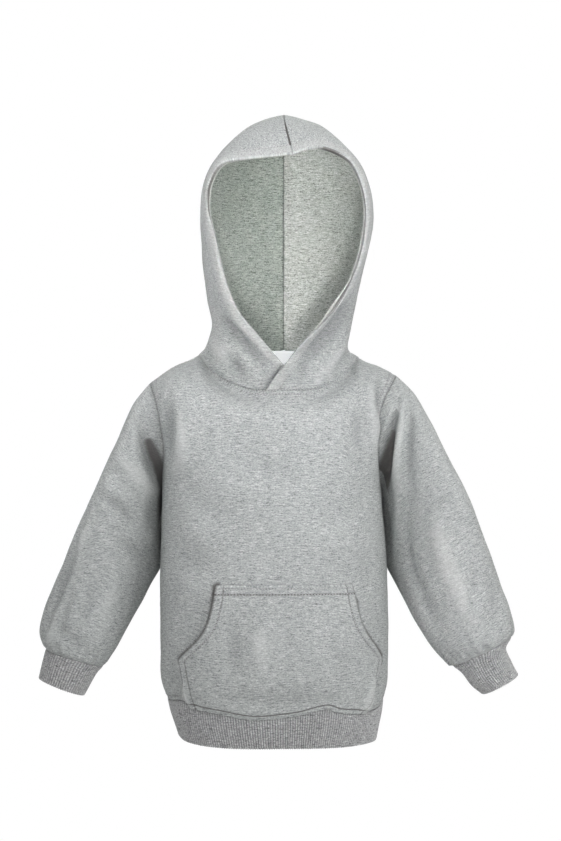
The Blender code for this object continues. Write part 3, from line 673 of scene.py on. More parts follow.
def shell(name, outer, inner, piece, finishes, facts):
    # closed wall of cloth: free edges are rounded like a fold, sewn ones are flat
    rows, columns = outer.shape[:2]
    wrap = piece["wrap"]
    count = rows * columns
    index = np.arange(count).reshape(rows, columns)
    layers = [outer.reshape(-1, 3), inner.reshape(-1, 3)]
    source = [np.arange(count), np.arange(count)]  # which grid point each point belongs to
    turned = [np.zeros(count), np.ones(count)]  # 0 outside, 1 inside, between them round an edge

    def closed(grid):
        return np.concatenate([grid, grid[:, :1]], 1) if wrap else grid

    level = piece["group"] in ("body", "hood", "pocket")
    up = levelHeights(outer) if level else lengthsAlong(outer, 0)
    across = lengthsAlong(closed(outer), 1)
    across = across - across.mean(axis=1, keepdims=True)
    uvGrid = np.stack([across, closed(up)], -1)
    r, c = np.meshgrid(np.arange(rows - 1), np.arange(uvGrid.shape[1] - 1), indexing="ij")
    corners = [(r, c), (r, c + 1), (r + 1, c + 1), (r + 1, c)]
    quads = np.stack([index[a, b % columns] for a, b in corners], -1).reshape(-1, 4)
    quadUvs = np.stack([uvGrid[a, b] for a, b in corners], -2).reshape(-1, 4, 2)
    faces = [quads, quads[:, ::-1] + count]
    uvs = [quadUvs, quadUvs[:, ::-1]]
    slots = [np.zeros(len(quads)), np.ones(len(quads))]

    def line(label, inwards):
        # points along a side, or along the row or column that lies inwards of it
        if label == "bottom":
            return index[inwards]
        if label == "top":
            return index[-1 - inwards][::-1]
        return index[:, inwards][::-1] if label == "first" else index[:, -1 - inwards]

    flatUv = uvGrid[:, :columns].reshape(-1, 2)
    made = 2 * count
    for label in allSides[:2] if wrap else allSides:
        edge = line(label, 0)
        rings = [edge]
        if label in piece["free"]:
            middle = (layers[0][edge] + layers[1][edge]) / 2
            half = (layers[0][edge] - layers[1][edge]) / 2
            ahead = unit(layers[0][edge] - layers[0][line(label, 1)])
            reach = np.linalg.norm(half, axis=-1, keepdims=True)
            for angle in (0.25, 0.5, 0.75):
                turn = angle * np.pi
                layers.append(middle + half * math.cos(turn) + ahead * reach * math.sin(turn))
                source.append(edge)
                turned.append(np.full(len(edge), angle))
                rings.append(np.arange(made, made + len(edge)))
                made += len(edge)
        rings.append(edge + count)
        step = np.arange(len(edge) if wrap else len(edge) - 1)
        after = (step + 1) % len(edge)
        here, there = flatUv[edge[step]], flatUv[edge[after]]
        for near, far in zip(rings, rings[1:]):
            faces.append(np.stack([near[after], near[step], far[step], far[after]], -1))
            uvs.append(np.stack([there, here, here, there], 1))
            slots.append(np.zeros(len(step)))
    source = np.concatenate(source)
    attributes = {label: values.reshape(-1)[source] for label, values in facts.items()}
    attributes["turned"] = np.concatenate(turned)
    return addMesh(
        name,
        np.concatenate(layers),
        np.concatenate(faces).astype(int),
        np.concatenate(slots),
        np.concatenate(uvs),
        attributes,
        finishes,
    )


class Wire:
    # one socket of a material's tree, with arithmetic that adds Math nodes
    def __init__(self, tree, socket):
        self.tree = tree
        self.socket = socket

    def at(self, name):
        return Wire(self.tree, self.socket.node.outputs[name])

    def calc(self, operation, *others):
        return self.tree.node("ShaderNodeMath", {"operation": operation}, self, *others)

    def __add__(self, other):
        return self.calc("ADD", other)

    __radd__ = __add__

    def __mul__(self, other):
        return self.calc("MULTIPLY", other)

    __rmul__ = __mul__

    def __sub__(self, other):
        return self.calc("SUBTRACT", other)

    def __rsub__(self, other):
        return self.tree.node("ShaderNodeMath", {"operation": "SUBTRACT"}, other, self)

    def between(self, low, high):
        # 0 below low, 1 above high, smooth in between
        smoothly = {"interpolation_type": "SMOOTHSTEP"}
        return self.tree.node("ShaderNodeMapRange", smoothly, self, low, high, 0.0, 1.0)

    def beside(self, place, low, high):
        # 1 within low of a place, 0 past high from it
        return 1 - (self - place).calc("ABSOLUTE").between(low, high)


def rgb(red, green, blue):
    return (red, green, blue, 1.0)


marl = {
    "tones": (rgb(0.148, 0.157, 0.157), rgb(0.385, 0.401, 0.397), rgb(0.660, 0.677, 0.665)),
    "spread": 0.142,
    "insideTones": ((0.150, 0.170, 0.150), (0.430, 0.465, 0.430), (0.700, 0.735, 0.695)),
    "insideSpread": 0.113,
    "ribTones": (rgb(0.115, 0.115, 0.117), rgb(0.425, 0.428, 0.430), rgb(0.72, 0.725, 0.725)),
    "ribSpread": 0.13,
    "ribValley": rgb(0.10, 0.10, 0.102),
    "hem": rgb(0.520, 0.530, 0.515),
    "seam": rgb(0.085, 0.078, 0.075),
    "wale": 1250.0,  # knit columns to a metre
    "course": 1050.0,  # knit rows to a metre
    "grooveWidth": 1.3,
    "grooveDepth": 1.8,
    "shadowEdge": (1.6, 6.0),
}


class Tree:
    # a material's nodes, with the colour and the height that it has so far;
    # node() takes the type, its settings, then its sockets in order or by name
    def __init__(self, name):
        self.material = bpy.data.materials.new(name)
        self.material.use_nodes = True
        self.nodes = self.material.node_tree.nodes
        self.links = self.material.node_tree.links
        self.shader = self.nodes["Principled BSDF"]
        self.color = self.height = None

    def put(self, socket, value):
        if isinstance(value, Wire):
            self.links.new(value.socket, socket)
        else:
            socket.default_value = value

    def node(self, kind, settings=None, *values, **named):
        made = self.nodes.new(kind)
        for key, value in (settings or {}).items():
            if key == "stops":
                ramp = made.color_ramp
                ramp.elements.remove(ramp.elements[-1])
                ramp.elements[0].position, ramp.elements[0].color = value[0]
                for position, color in value[1:]:
                    ramp.elements.new(position).color = color
            else:
                setattr(made, key, value)
        for socket, value in zip([one for one in made.inputs if one.enabled], values):
            self.put(socket, value)
        for key, value in named.items():
            self.put(made.inputs[key], value)
        return Wire(self, [one for one in made.outputs if one.enabled][0])

    def mix(self, factor, first, second):
        return self.node("ShaderNodeMix", {"data_type": "RGBA"}, factor, first, second)

    def fact(self, name):
        return self.node("ShaderNodeAttribute", {"attribute_name": name}).at("Fac")

    def paint(self, share, color=marl["seam"]):
        self.color = self.mix(share, self.color, color)

    def sink(self, share):
        self.height = self.height - share

    def finish(self, roughness, strength=0.0, distance=0.0):
        self.put(self.shader.inputs["Base Color"], self.color)
        self.put(self.shader.inputs["Roughness"], roughness)
        if self.height is not None:
            normal = self.node(
                "ShaderNodeBump", {}, Strength=strength, Distance=distance, Height=self.height
            )
            self.links.new(normal.socket, self.shader.inputs["Normal"])
        return self.material


class Cloth(Tree):
    # a tree that also knows its place along and up the cloth, in metres
    def __init__(self, name):
        super().__init__(name)
        place = self.node("ShaderNodeUVMap", {"uv_map": "cloth"})
        split = self.node("ShaderNodeSeparateXYZ", {}, place)
        self.along = split.at("X")
        self.up = split.at("Y")

    def noise(self, acrossPerMetre, upPerMetre, detail, rough, shift=0.0):
        across, up = self.along * acrossPerMetre, self.up * upPerMetre
        where = self.node("ShaderNodeCombineXYZ", {}, across, up, shift)
        return self.node(
            "ShaderNodeTexNoise", {}, Vector=where, Scale=1.0, Detail=detail, Roughness=rough
        )

    def wave(self, place, perMetre):
        return (place * (2 * math.pi * perMetre)).calc("SINE")

    def seam(self, low, high, dark):
        # darkens the seam, and gives how near it is
        share = 1 - self.fact("fromSeam").between(low, high)
        self.paint(share * dark)
        return share


def marlColor(tree, tones, spread, calm=None):
    # dark fibres in short level streaks over a lighter ground; a smaller spread is harsher,
    # and where the cloth is calm the streaks break up into flecks
    streak = tree.noise(108, 880, 3.0, 0.66)
    fleck = tree.noise(560, 1150, 2.0, 0.6, 3.7)
    cloud = tree.noise(21, 30, 3.0, 0.6, 8.1)
    if calm is not None:
        streak = streak * (1 - calm) + tree.noise(480, 620, 3.0, 0.66, 5.9) * calm
    level = streak * 0.49 + fleck * 0.51 + (cloud - 0.5) * 0.05
    dark, mid, light = tones
    stops = [(0.5 - spread, dark), (0.482, mid), (0.515, mid), (0.5 + spread, light)]
    tree.color = tree.node("ShaderNodeValToRGB", {"stops": stops}, level)
    return level


def knitHeight(tree):
    # the small V of each stitch: wales that rise and courses that lean with them
    wale = tree.wave(tree.along, marl["wale"])
    lean = tree.wave(tree.along, marl["wale"] / 2).calc("ABSOLUTE")
    course = ((tree.up * marl["course"] + lean * 0.6) * (2 * math.pi)).calc("SINE")
    return wale * 0.22 + course * 0.18 + tree.noise(1900, 1900, 2.0, 0.7, 1.3) * 0.9


def groove(tree, distance, row):
    # the cloth sinks under a row of topstitching
    share = distance.beside(row, 0.0, marl["grooveWidth"])
    tree.sink(share * marl["grooveDepth"])
    return share


def fleeceFinish(name, rows, hemWidth=0.0, openingRow=0.0, shadow=0.0):
    # rows: millimetres from the stitched edge, how dark; shadow: how dark its crevices are
    tree = Cloth(name)
    calm = tree.fact("upward") if hemWidth else None
    level = marlColor(tree, marl["tones"], marl["spread"], calm)
    tree.height = knitHeight(tree)
    fromStitched = tree.fact("fromStitched")
    if hemWidth:
        tree.paint((1 - fromStitched.between(hemWidth - 0.6, hemWidth + 0.6)) * 0.30, marl["hem"])
    for row, dark in rows:
        tree.paint(groove(tree, fromStitched, row) * dark)
    if openingRow:
        fromOpening = tree.fact("fromOpening")
        # painted shade along the edges of the hand openings, with the groove under their
        # topstitching
        edge = 1 - fromOpening.between(0.0, 1.4)
        tree.paint(groove(tree, fromOpening, openingRow) * 0.58 + edge * 0.45)
    if hemWidth:
        besideCrown = 1 - tree.fact("fromCrown").between(0.7, 1.4)
        beyondHem = fromStitched.between(hemWidth - 0.5, hemWidth + 0.5)
        tree.paint(beyondHem * besideCrown * 0.95)
        # painted shadow lines in the gap between the hood's outside and its turned edge
        lipShade = tree.fact("lipShade")
        tree.paint(tree.fact("turned").beside(0.55, 0.20, 0.34) * lipShade * 0.95)
        gap = (1 - fromStitched.between(0.4, 1.5)) * lipShade.between(0.82, 0.95)
        tree.paint(gap * 0.75)
    # painted highlight on crease ridges and painted shade in crease troughs, from the crease depth
    fold = tree.fact("fold")
    tree.paint(fold.between(0.6, 4.0) * 0.35, marl["tones"][2])
    tree.paint((0 - fold).between(0.6, 6.0) * 0.42, marl["tones"][0])
    # painted shadow beside the pocket's hand openings and in the crevices between sleeves and body
    if shadow:
        tree.paint((1 - tree.fact("fromShadow").between(*marl["shadowEdge"])) * shadow)
    tree.sink(tree.seam(0.0, 0.8, 0.12) * 2.0)
    return tree.finish(0.93 - level * 0.08, 0.6, 0.0005)


def insideFinish(name, paintedLight=(1.0, 1.0, 1.0), hemWidth=0.0):
    tree = Cloth(name)
    # paintedLight scales the tones lighter or darker to stand for how light falls on this copy of
    # the cloth
    tones = [
        rgb(*(min(share * part, 0.95) for share, part in zip(paintedLight, tone)))
        for tone in marl["insideTones"]
    ]
    level = marlColor(tree, tones, marl["insideSpread"])
    loops = tree.noise(700, 900, 3.0, 0.7, 2.2)
    tree.height = loops + level * 0.5 - tree.seam(0.1, 0.6, 0.4)
    if hemWidth:
        fromEdge = tree.fact("fromStitched")
        tree.paint((1 - fromEdge.between(hemWidth - 0.6, hemWidth + 0.6)) * 0.5, marl["hem"])
        # painted shadow lines in the gap under the turned edge; each line also sinks the cloth a
        # little
        lipShade = tree.fact("lipShade")
        for line, width in ((2.9, 1.3), (hemWidth - 1.6, 1.8)):
            edge = fromEdge.beside(line, 0.5, width)
            tree.paint(edge * lipShade * 0.9)
            tree.sink(edge)
    return tree.finish(0.95, 0.6, 0.0007)


def ribFinish():
    tree = Cloth("rib")
    marlColor(tree, marl["ribTones"], marl["ribSpread"])
    # painted shade in the valleys between the ribs
    tree.paint(tree.fact("valley") * 0.62, marl["ribValley"])
    seam = tree.seam(0.0, 0.8, 0.25)
    tree.height = tree.noise(1700, 1700, 2.0, 0.7) + tree.wave(tree.up, 1300) * 0.2 - seam
    return tree.finish(0.93, 0.5, 0.0005)


def threadFinish():
    tree = Tree("thread")
    where = tree.node("ShaderNodeTexCoord", {}).at("Object")
    twist = tree.node("ShaderNodeTexNoise", {}, Vector=where, Scale=2600.0, Detail=1.0)
    tree.color = tree.mix(twist, rgb(0.42, 0.42, 0.43), rgb(0.62, 0.62, 0.63))
    tree.height = twist
    return tree.finish(0.7, 0.3, 0.0002)


def labelFinish():
    tree = Cloth("wovenTape")
    tone = tree.noise(300, 900, 2.0, 0.6)
    tree.color = tree.mix(tone, rgb(0.90, 0.93, 0.93), rgb(0.97, 0.98, 0.98))
    tree.height = tree.wave(tree.along, 1600) * tree.wave(tree.up, 1300) + tone
    tree.shader.inputs["Emission Color"].default_value = rgb(0.96, 0.98, 1.0)
    tree.shader.inputs["Emission Strength"].default_value = 0.52  # painted light: the label glows to stay bright in the shade of the neck
    return tree.finish(0.62, 0.35, 0.0002)


# millimetres from an edge to its topstitching
stitchRows = {
    "body": (1.9, 6.6),
    "hem": 4.6,  # above the hem's seam, on the front and the pocket alike
    "pocketTop": (2.0, 8.0),
    "opening": 7.5,
    "pocketSide": 2.0,
}
fleece = fleeceFinish("fleece", zip(stitchRows["body"], (0.42, 0.42)), shadow=0.86)
hoodFleece = fleeceFinish("hoodFleece", ((hood["hemWidth"], 0.36),), hood["hemWidth"])
pocketFleece = fleeceFinish(
    "pocketFleece", zip(stitchRows["pocketTop"], (0.3, 0.9)), openingRow=stitchRows["opening"]
)
inside = insideFinish("fleeceInside")
# painted light: the two halves' insides are one cloth, the left made lighter and the right darker
# for how light falls into the hood
hoodInside = {
    "hood_left": insideFinish("hoodInsideLeft", (1.47, 1.40, 1.43), hood["hemWidth"]),
    "hood_right": insideFinish("hoodInsideRight", (0.94, 0.95, 0.94), hood["hemWidth"]),
}
rib = ribFinish()
thread = threadFinish()
tape = labelFinish()
print("finishes mixed")


def sew(piece, inner, finishes, facts, ending="_cloth"):
    # makes a piece's cloth, hangs it from the frame's root and hides the frame's own piece
    name = piece["name"]
    thing = shell(name + ending, piece["outer"], inner, piece, finishes, facts)
    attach(thing, "root")
    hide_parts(name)


def fromTopstitching(piece):
    # topstitching runs beside the neck and the armholes, not beside the side seams
    away = piece["away"]
    result = np.full(piece["grid"].shape[:2], nowhere)
    atNeck = slice(side, lastColumn - side + 1)
    result[:, atNeck] = away["top"][:, atNeck]
    beside = np.minimum(away["first"], away["last"])
    result[armpitRow:] = np.minimum(result[armpitRow:], beside[armpitRow:])
    return np.minimum(result, away["bottom"] + stitchRows["body"][1] - stitchRows["hem"])


def beyondPocket(piece):
    # millimetres outside the pocket's hand openings, and a little more above its top, where painted
    # shadow is laid beside them
    grid = piece["grid"]
    result = np.full(grid.shape[:2], nowhere)
    if piece["name"] != "front":
        return result
    top, corner, last = pocketTopRow, pocketCornerRow, lastColumn - side
    middle = (corner + top) // 2
    near = grid[: top + 12]
    for edge, extra in (
        (grid[corner : top + 1, side], -0.8),
        (grid[middle : top - 6, last], -3.4),
        (grid[corner:middle, last], -5.0),
        (grid[top - 6 : top + 1, last], 1.5),
        (grid[top, side : last + 1], 3.0),
        (grid[:corner, side], 2.0),
        (grid[:corner, last], 2.0),
    ):
        away = np.linalg.norm(near[:, :, None] - edge[None, None], axis=-1).min(axis=-1)
        result[: top + 12] = np.minimum(result[: top + 12], away + extra)
    return result


# x, z and half width of the painted shadow in the deep crevice between each sleeve and the body,
# down its front
crevices = {
    "sleeve_left": (
        (116.5, -76, 0.6), (112, -96, 2.6), (108.5, -116, 4.4), (109, -140, 3.6), (112, -185, 1.4),
    ),
    "sleeve_right": (
        (-132, -84, 0.8), (-126, -99, 2.2), (-122, -113, 2.2), (-121.5, -150, 3.2),
        (-120, -200, 1.4),
    ),
}


def beyondCrevice(piece):
    # millimetres outside the crevice's painted shadow; nothing behind the middle of the sleeve
    # counts
    knots = np.array(crevices[piece["name"]], float)
    grid = piece["grid"]
    result = np.full(grid.shape[:2], nowhere)
    for x, z, half in spline(knots, np.linspace(0, len(knots) - 1, 48)):
        result = np.minimum(result, np.hypot(grid[..., 0] - x, grid[..., 2] - z) - half)
    return result + marl["shadowEdge"][0] + 20 * smooth((grid[..., 1] + 6) / 12)


for name in ("front", "back", "sleeve_left", "sleeve_right"):
    piece = pieces[name]
    piece["outer"], inner = wallOf(piece, clothThickness)
    facts = {"fromSeam": nearest(piece, piece["sewn"]), "fold": piece["fold"]}
    if piece["group"] == "body":
        facts["fromStitched"] = fromTopstitching(piece)
        facts["fromShadow"] = beyondPocket(piece)
    else:
        facts["fromStitched"] = np.full(piece["fold"].shape, nowhere)
        facts["fromShadow"] = beyondCrevice(piece)
    sew(piece, inner, [fleece, inside], facts)
print("front, back and sleeves cut")


def lipShade(piece):
    # how open the gap is between the hood's outside and its turned edge, which sets how dark its
    # painted shadow is, by height and by side
    out, height = piece["grid"][..., 0], piece["grid"][..., 2]
    shades, start, width = hood["lipLeft"]
    if piece["name"] == "hood_right":
        out = -out
        shades, start, width = hood["lipRight"]
    return np.interp(height, hood["lipHeights"], shades) * smooth((out - start) / width)


for name in ("hood_left", "hood_right"):
    piece = pieces[name]
    fromEdge = piece["away"][piece["free"][0]]
    fromSeam = nearest(piece, piece["sewn"])
    fromCrown = nearest(piece, piece["sewn"][1:])
    onHem = smooth((hood["hemWidth"] + 1.5 - fromEdge) / 3)
    strip = smooth((fromEdge - 0.8) / 5) * smooth((hood["hemWidth"] + 1 - fromEdge) / 1.5)
    thick = clothThickness + hood["hemExtra"] * onHem + hood["stripExtra"] * strip
    outer, inner = wallOf(piece, thick)
    rise = hood["hemRise"] * onHem * smooth(fromSeam / 6)
    piece["outer"] = outer + piece["normals"] * rise[..., None]
    facts = {
        "fromSeam": fromSeam,
        "fromStitched": fromEdge,
        "fromCrown": fromCrown + 0.9 * smooth((piece["grid"][..., 1] + 52) / 26),
        "fold": piece["fold"],
        "lipShade": lipShade(piece),
        "upward": smooth((piece["normals"][..., 2] - 0.15) / 0.5),
    }
    sew(piece, inner, [hoodFleece, hoodInside[name]], facts)
print("hood set on")

ribs = {
    "hemRibs": 240,
    "cuffRibs": 60,
    "columnsPerRib": 6,
    "rows": 13,
    "height": 1.15,
    "thick": 2.4,
    "seed": 3,
}
# two rows below the hem's seam, as in the panels' own tables
hemSides = [
    (-104, -10, -383, 100, 10, -393), (-110, -10, -366, 104.5, 11, -371),
]
hemFront = [
    (4, -86, -392.5, -80, 78), (4, -89, -375, -85, 83),
]
hemBack = [
    (-12, 78, -388, -76, 60), (-13, 82, -371, -80, 64),
]


def roundOf(frontRow, backRow):
    return np.concatenate([frontRow[:-1], backRow[::-1][:-1]])


def ribbed(name, knots, count, seamNormals):
    # a band of raised ribs; seamNormals are those of the cloth it is sewn to
    grid = spline(np.array(knots), np.linspace(0, len(knots) - 1, ribs["rows"] + 1))
    coarse = makePiece(name, "band", grid, True, ("top",))
    coarse["normals"][-1] = seamNormals
    height = clothThickness / 2 + creaseStyle["ripple"] * ripple(grid)
    atSeam = coarse["away"]["top"]
    height -= seamStyle["sink"] * bump(atSeam / seamStyle["sinkWidth"])
    if name == "hem_band":
        height -= seamStyle["hemSink"] * bump(atSeam / seamStyle["hemSinkWidth"])
    columns = count * ribs["columnsPerRib"]
    base = moreColumns(grid + coarse["normals"] * height[..., None], columns)
    normals = unit(moreColumns(coarse["normals"], columns))
    fromSeam = moreColumns(atSeam[..., None], columns)[..., 0]
    phase = (np.arange(columns) % ribs["columnsPerRib"]) / ribs["columnsPerRib"]
    crest = np.sin(np.pi * phase) ** 1.2
    draw = np.random.default_rng(ribs["seed"])
    uneven = np.repeat(draw.uniform(0.82, 1.1, count), ribs["columnsPerRib"])
    rise = ribs["height"] * (crest - 0.55) * uneven * (0.45 + 0.55 * smooth(fromSeam / 3.5))
    outer = base + normals * rise[..., None]
    inner = base - normals * (ribs["thick"] + 0.35 * rise[..., None])
    piece = makePiece(name, "band", outer, True, ("top",), ("bottom",))
    piece["outer"] = outer
    facts = {"fromSeam": fromSeam, "valley": np.broadcast_to(1 - crest, fromSeam.shape)}
    sew(piece, inner, [rib, rib], facts)


hemNormals = [pieces[name]["normals"][0][:-1] for name in ("front", "back")]
knots = [
    ridingUp(roundOf(bodyRow(frontRow), bodyRow(backRow)), share)
    for frontRow, backRow, share in zip(
        withSides(hemFront, hemSides), withSides(hemBack, hemSides), (0.0, 0.5)
    )
]
knots.append(roundOf(front[0], back[0]))
ribbed("hem_band", knots, ribs["hemRibs"], np.concatenate(hemNormals))
for name, rings, above, wearersLeft in (
    ("cuff_left", cuffLeft, pieces["sleeve_left"], True),
    ("cuff_right", cuffRight, pieces["sleeve_right"], False),
):
    edge = above["grid"][0]
    knots = [ringPoints(ring, len(edge), wearersLeft) for ring in rings[::-1]] + [edge]
    ribbed(name, knots, ribs["cuffRibs"], above["normals"][0])
print("ribs knitted")

pocket = {
    "lift": 0.5,
    "slack": 3.2,
    "gape": 4.6,
    "gapeWidth": 16.0,
    "thick": 2.0,
    "turned": 0.7,
    "turnWidth": 9.0,
    "cornerRidge": 2.0,
    "cornerReach": 34.0,
}


def pocketPatch():
    # a patch on the front's own points, slack in the middle and gaping at its hand openings
    rows, columns = slice(0, pocketTopRow + 1), slice(side, lastColumn - side + 1)
    outer = pieces["front"]["outer"][rows, columns]
    patch = makePiece("pocket", "pocket", outer, False, (), allSides)
    normals = patch["normals"] = pieces["front"]["normals"][rows, columns]
    away = patch["away"]
    row = np.arange(outer.shape[0])[:, None]
    corner = pocketCornerRow
    height = np.linspace(0, 1, outer.shape[0])[:, None]
    width = np.linspace(-1, 1, outer.shape[1])[None]
    held = smooth((1 - np.abs(width)) * 5)
    unsewn = smooth((row - corner) / 9)
    slack = np.sin(np.pi * height) * (1 - 0.5 * width**2) * (held + (1 - held) * unsewn)
    fromSide = np.minimum(away["first"], away["last"])
    fromOpening = np.where(row >= corner, fromSide, nowhere)
    turned = smooth((pocket["turnWidth"] - np.minimum(fromOpening, away["top"])) / 2)
    opening = np.clip((row - corner) / (outer.shape[0] - 1 - corner), 0, 1)
    gape = np.sin(np.pi * opening) ** 0.8 * bump(fromOpening / pocket["gapeWidth"])
    ridge = bump((fromSide - 3) / 3.2) * smooth(1 - away["bottom"] / pocket["cornerReach"])
    low = pocket["lift"] + pocket["slack"] * slack + pocket["gape"] * gape
    low = low + pocket["cornerRidge"] * ridge
    high = low + pocket["thick"] + pocket["turned"] * turned
    fromFoot = away["bottom"] + stitchRows["pocketTop"][1] - stitchRows["hem"]
    facts = {
        "fromSeam": np.full(fromSide.shape, nowhere),
        "fromStitched": np.minimum(away["top"], fromFoot),
        "fromOpening": fromSide,
        # the corner ridges also get painted highlight through the crease depth
        "fold": pieces["front"]["fold"][rows, columns] + 2.5 * ridge,
    }
    patch["outer"] = outer + normals * high[..., None]
    sew(patch, outer + normals * low[..., None], [pocketFleece, inside], facts)
    return patch


pieces["pocket"] = pocketPatch()

label = {
    "halfColumns": 6,
    "rows": 9,
    "thick": 0.9,
    "lift": 1.4,
    "curl": 2.2,
}


def neckLabel():
    rows = slice(-label["rows"], None)
    columns = slice(nape - label["halfColumns"], nape + label["halfColumns"] + 1)
    base = pieces["back"]["grid"][rows, columns]
    inward = -pieces["back"]["normals"][rows, columns]
    curl = label["curl"] * np.linspace(1, 0, label["rows"])[:, None] ** 2
    base = base + inward * (clothThickness + label["lift"] + curl)[..., None]
    base[-1] += (base[-2] - base[-1]) * 0.3
    # seen from inside, so the columns run the other way round
    facing = base[:, ::-1]
    patch = makePiece("neck_label", "label", facing, False, (), ("bottom", "first", "last"))
    patch["outer"] = facing + inward[:, ::-1] * label["thick"]
    sew(patch, facing, [tape, tape], {}, "_tape")


neckLabel()
print("pocket and label sewn")

stitching = {
    "pitch": 3.1,
    "length": 2.5,
    "width": 0.62,
    "lift": 0.16,
    "seed": 4,
}


def lineAlong(name, edge, distance, span=(0, None)):
    # points at one distance from a side of a piece, with the way out at each
    piece = pieces[name]
    away, outer, normals = piece["away"][edge], piece["outer"], piece["normals"]
    if edge in ("bottom", "top"):
        away, outer, normals = away.T, outer.swapaxes(0, 1), normals.swapaxes(0, 1)
    points, ways = [], []
    for at in range(len(away))[slice(*span)]:
        order = np.argsort(away[at])
        if away[at][order[-1]] < distance:
            continue
        place, way = (
            np.array([np.interp(distance, away[at][order], line[at][order, k]) for k in range(3)])
            for line in (outer, normals)
        )
        way = unit(way)
        points.append(place + way * stitching["lift"])
        ways.append(way)
    return np.array(points), np.array(ways)


def threadTree():
    tree = bpy.data.node_groups.new("threadStitches", "GeometryNodeTree")

    def socket(name, kind, value=None, way="INPUT"):
        made = tree.interface.new_socket(name, in_out=way, socket_type="NodeSocket" + kind)
        if value is not None:
            made.default_value = value

    def add(kind, settings=None, **inputs):
        # adds a node and gives its first output
        made = tree.nodes.new(kind)
        for key, value in (settings or {}).items():
            setattr(made, key, value)
        for key, value in inputs.items():
            if isinstance(value, bpy.types.NodeSocket):
                tree.links.new(value, made.inputs[key])
            else:
                made.inputs[key].default_value = value
        return made.outputs[0]

    socket("Geometry", "Geometry")
    for name in ("pitch", "length", "width"):
        socket(name.capitalize(), "Float", stitching[name] * mm)
    socket("Seed", "Int", stitching["seed"])
    socket("Thread", "Material")
    socket("Geometry", "Geometry", way="OUTPUT")
    given = tree.nodes.new("NodeGroupInput").outputs
    out = tree.nodes.new("NodeGroupOutput")
    byLength = {"mode": "LENGTH"}
    curve = add("GeometryNodeMeshToCurve", Mesh=given["Geometry"])
    even = add("GeometryNodeResampleCurve", byLength, Curve=curve, Length=given["Pitch"])
    ball = add("GeometryNodeMeshUVSphere", Segments=6, Rings=4, Radius=0.5)
    size = add("ShaderNodeCombineXYZ", X=given["Length"], Y=given["Width"], Z=given["Width"])
    stitch = add("GeometryNodeTransform", Geometry=ball, Scale=size)
    tangent = add("GeometryNodeInputTangent")
    wayOut = add("GeometryNodeInputNamedAttribute", {"data_type": "FLOAT_VECTOR"}, Name="wayOut")
    align = "FunctionNodeAlignRotationToVector"
    aimed = add(align, {"axis": "X"}, Vector=tangent)
    upright = add(align, {"axis": "Z", "pivot_axis": "X"}, Rotation=aimed, Vector=wayOut)
    jitter = add(
        "FunctionNodeRandomValue",
        {"data_type": "FLOAT_VECTOR"},
        Min=(0.88, 0.9, 0.9),
        Max=(1.08, 1.1, 1.1),
        Seed=given["Seed"],
    )
    placed = add(
        "GeometryNodeInstanceOnPoints", Points=even, Instance=stitch, Rotation=upright, Scale=jitter
    )
    real = add("GeometryNodeRealizeInstances", Geometry=placed)
    painted = add("GeometryNodeSetMaterial", Geometry=real, Material=given["Thread"])
    tree.links.new(painted, out.inputs["Geometry"])
    return tree


threads = threadTree()


def stitchLines(name, lines):
    # one capsule of thread for each stitch along the lines
    points, ways, edges = [], [], []
    for line, way in lines:
        start = len(points)
        points.extend(line.tolist())
        ways.extend(way.tolist())
        edges.extend((start + step, start + step + 1) for step in range(len(line) - 1))
    mesh = bpy.data.meshes.new(name + "Lines")
    mesh.from_pydata((np.array(points) * mm).tolist(), edges, [])
    wayOut = mesh.attributes.new("wayOut", "FLOAT_VECTOR", "POINT")
    wayOut.data.foreach_set("vector", np.array(ways, np.float32).ravel())
    guide = addObject(name + "Guide", mesh)
    modifier = guide.modifiers.new("stitches", "NODES")
    modifier.node_group = threads
    inputs = [item for item in threads.interface.items_tree if item.in_out == "INPUT"]
    keys = {item.name: item.identifier for item in inputs}
    modifier[keys["Thread"]] = thread
    graph = bpy.context.evaluated_depsgraph_get()
    made = bpy.data.meshes.new_from_object(guide.evaluated_get(graph), depsgraph=graph)
    made.name = name
    made.shade_smooth()
    bpy.data.objects.remove(guide, do_unlink=True)
    thing = addObject(name, made)
    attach(thing, "root")


bodyLines = []
for name in ("front", "back"):
    for distance in stitchRows["body"]:
        bodyLines.append(lineAlong(name, "top", distance, (side, lastColumn - side + 1)))
        for edge in ("first", "last"):
            bodyLines.append(lineAlong(name, edge, distance, (armpitRow + 3, -2)))
    bodyLines.append(lineAlong(name, "bottom", stitchRows["hem"]))
stitchLines("body_stitching", bodyLines)
hoodLines = [
    lineAlong(name, pieces[name]["free"][0], hood["hemWidth"], (2, -1))
    for name in ("hood_left", "hood_right")
]
stitchLines("hood_stitching", hoodLines)
pocketLines = [lineAlong("pocket", "top", row, (1, -1)) for row in stitchRows["pocketTop"]]
for row, span in (("opening", (pocketCornerRow, -9)), ("pocketSide", (1, pocketCornerRow))):
    for edge in ("first", "last"):
        pocketLines.append(lineAlong("pocket", edge, stitchRows[row], span))
stitchLines("pocket_stitching", pocketLines)
print("stitching done")

studio = {
    "floor": -0.75,
    "floorSize": 1.35,
    "floorFade": 0.85,
    "distance": 2.6,
    "height": -0.063,
    "middle": 0.0016,
    "frameHeight": 0.841 * 1.04,
    "sensor": 24.0,
    "sky": 0.48,
}
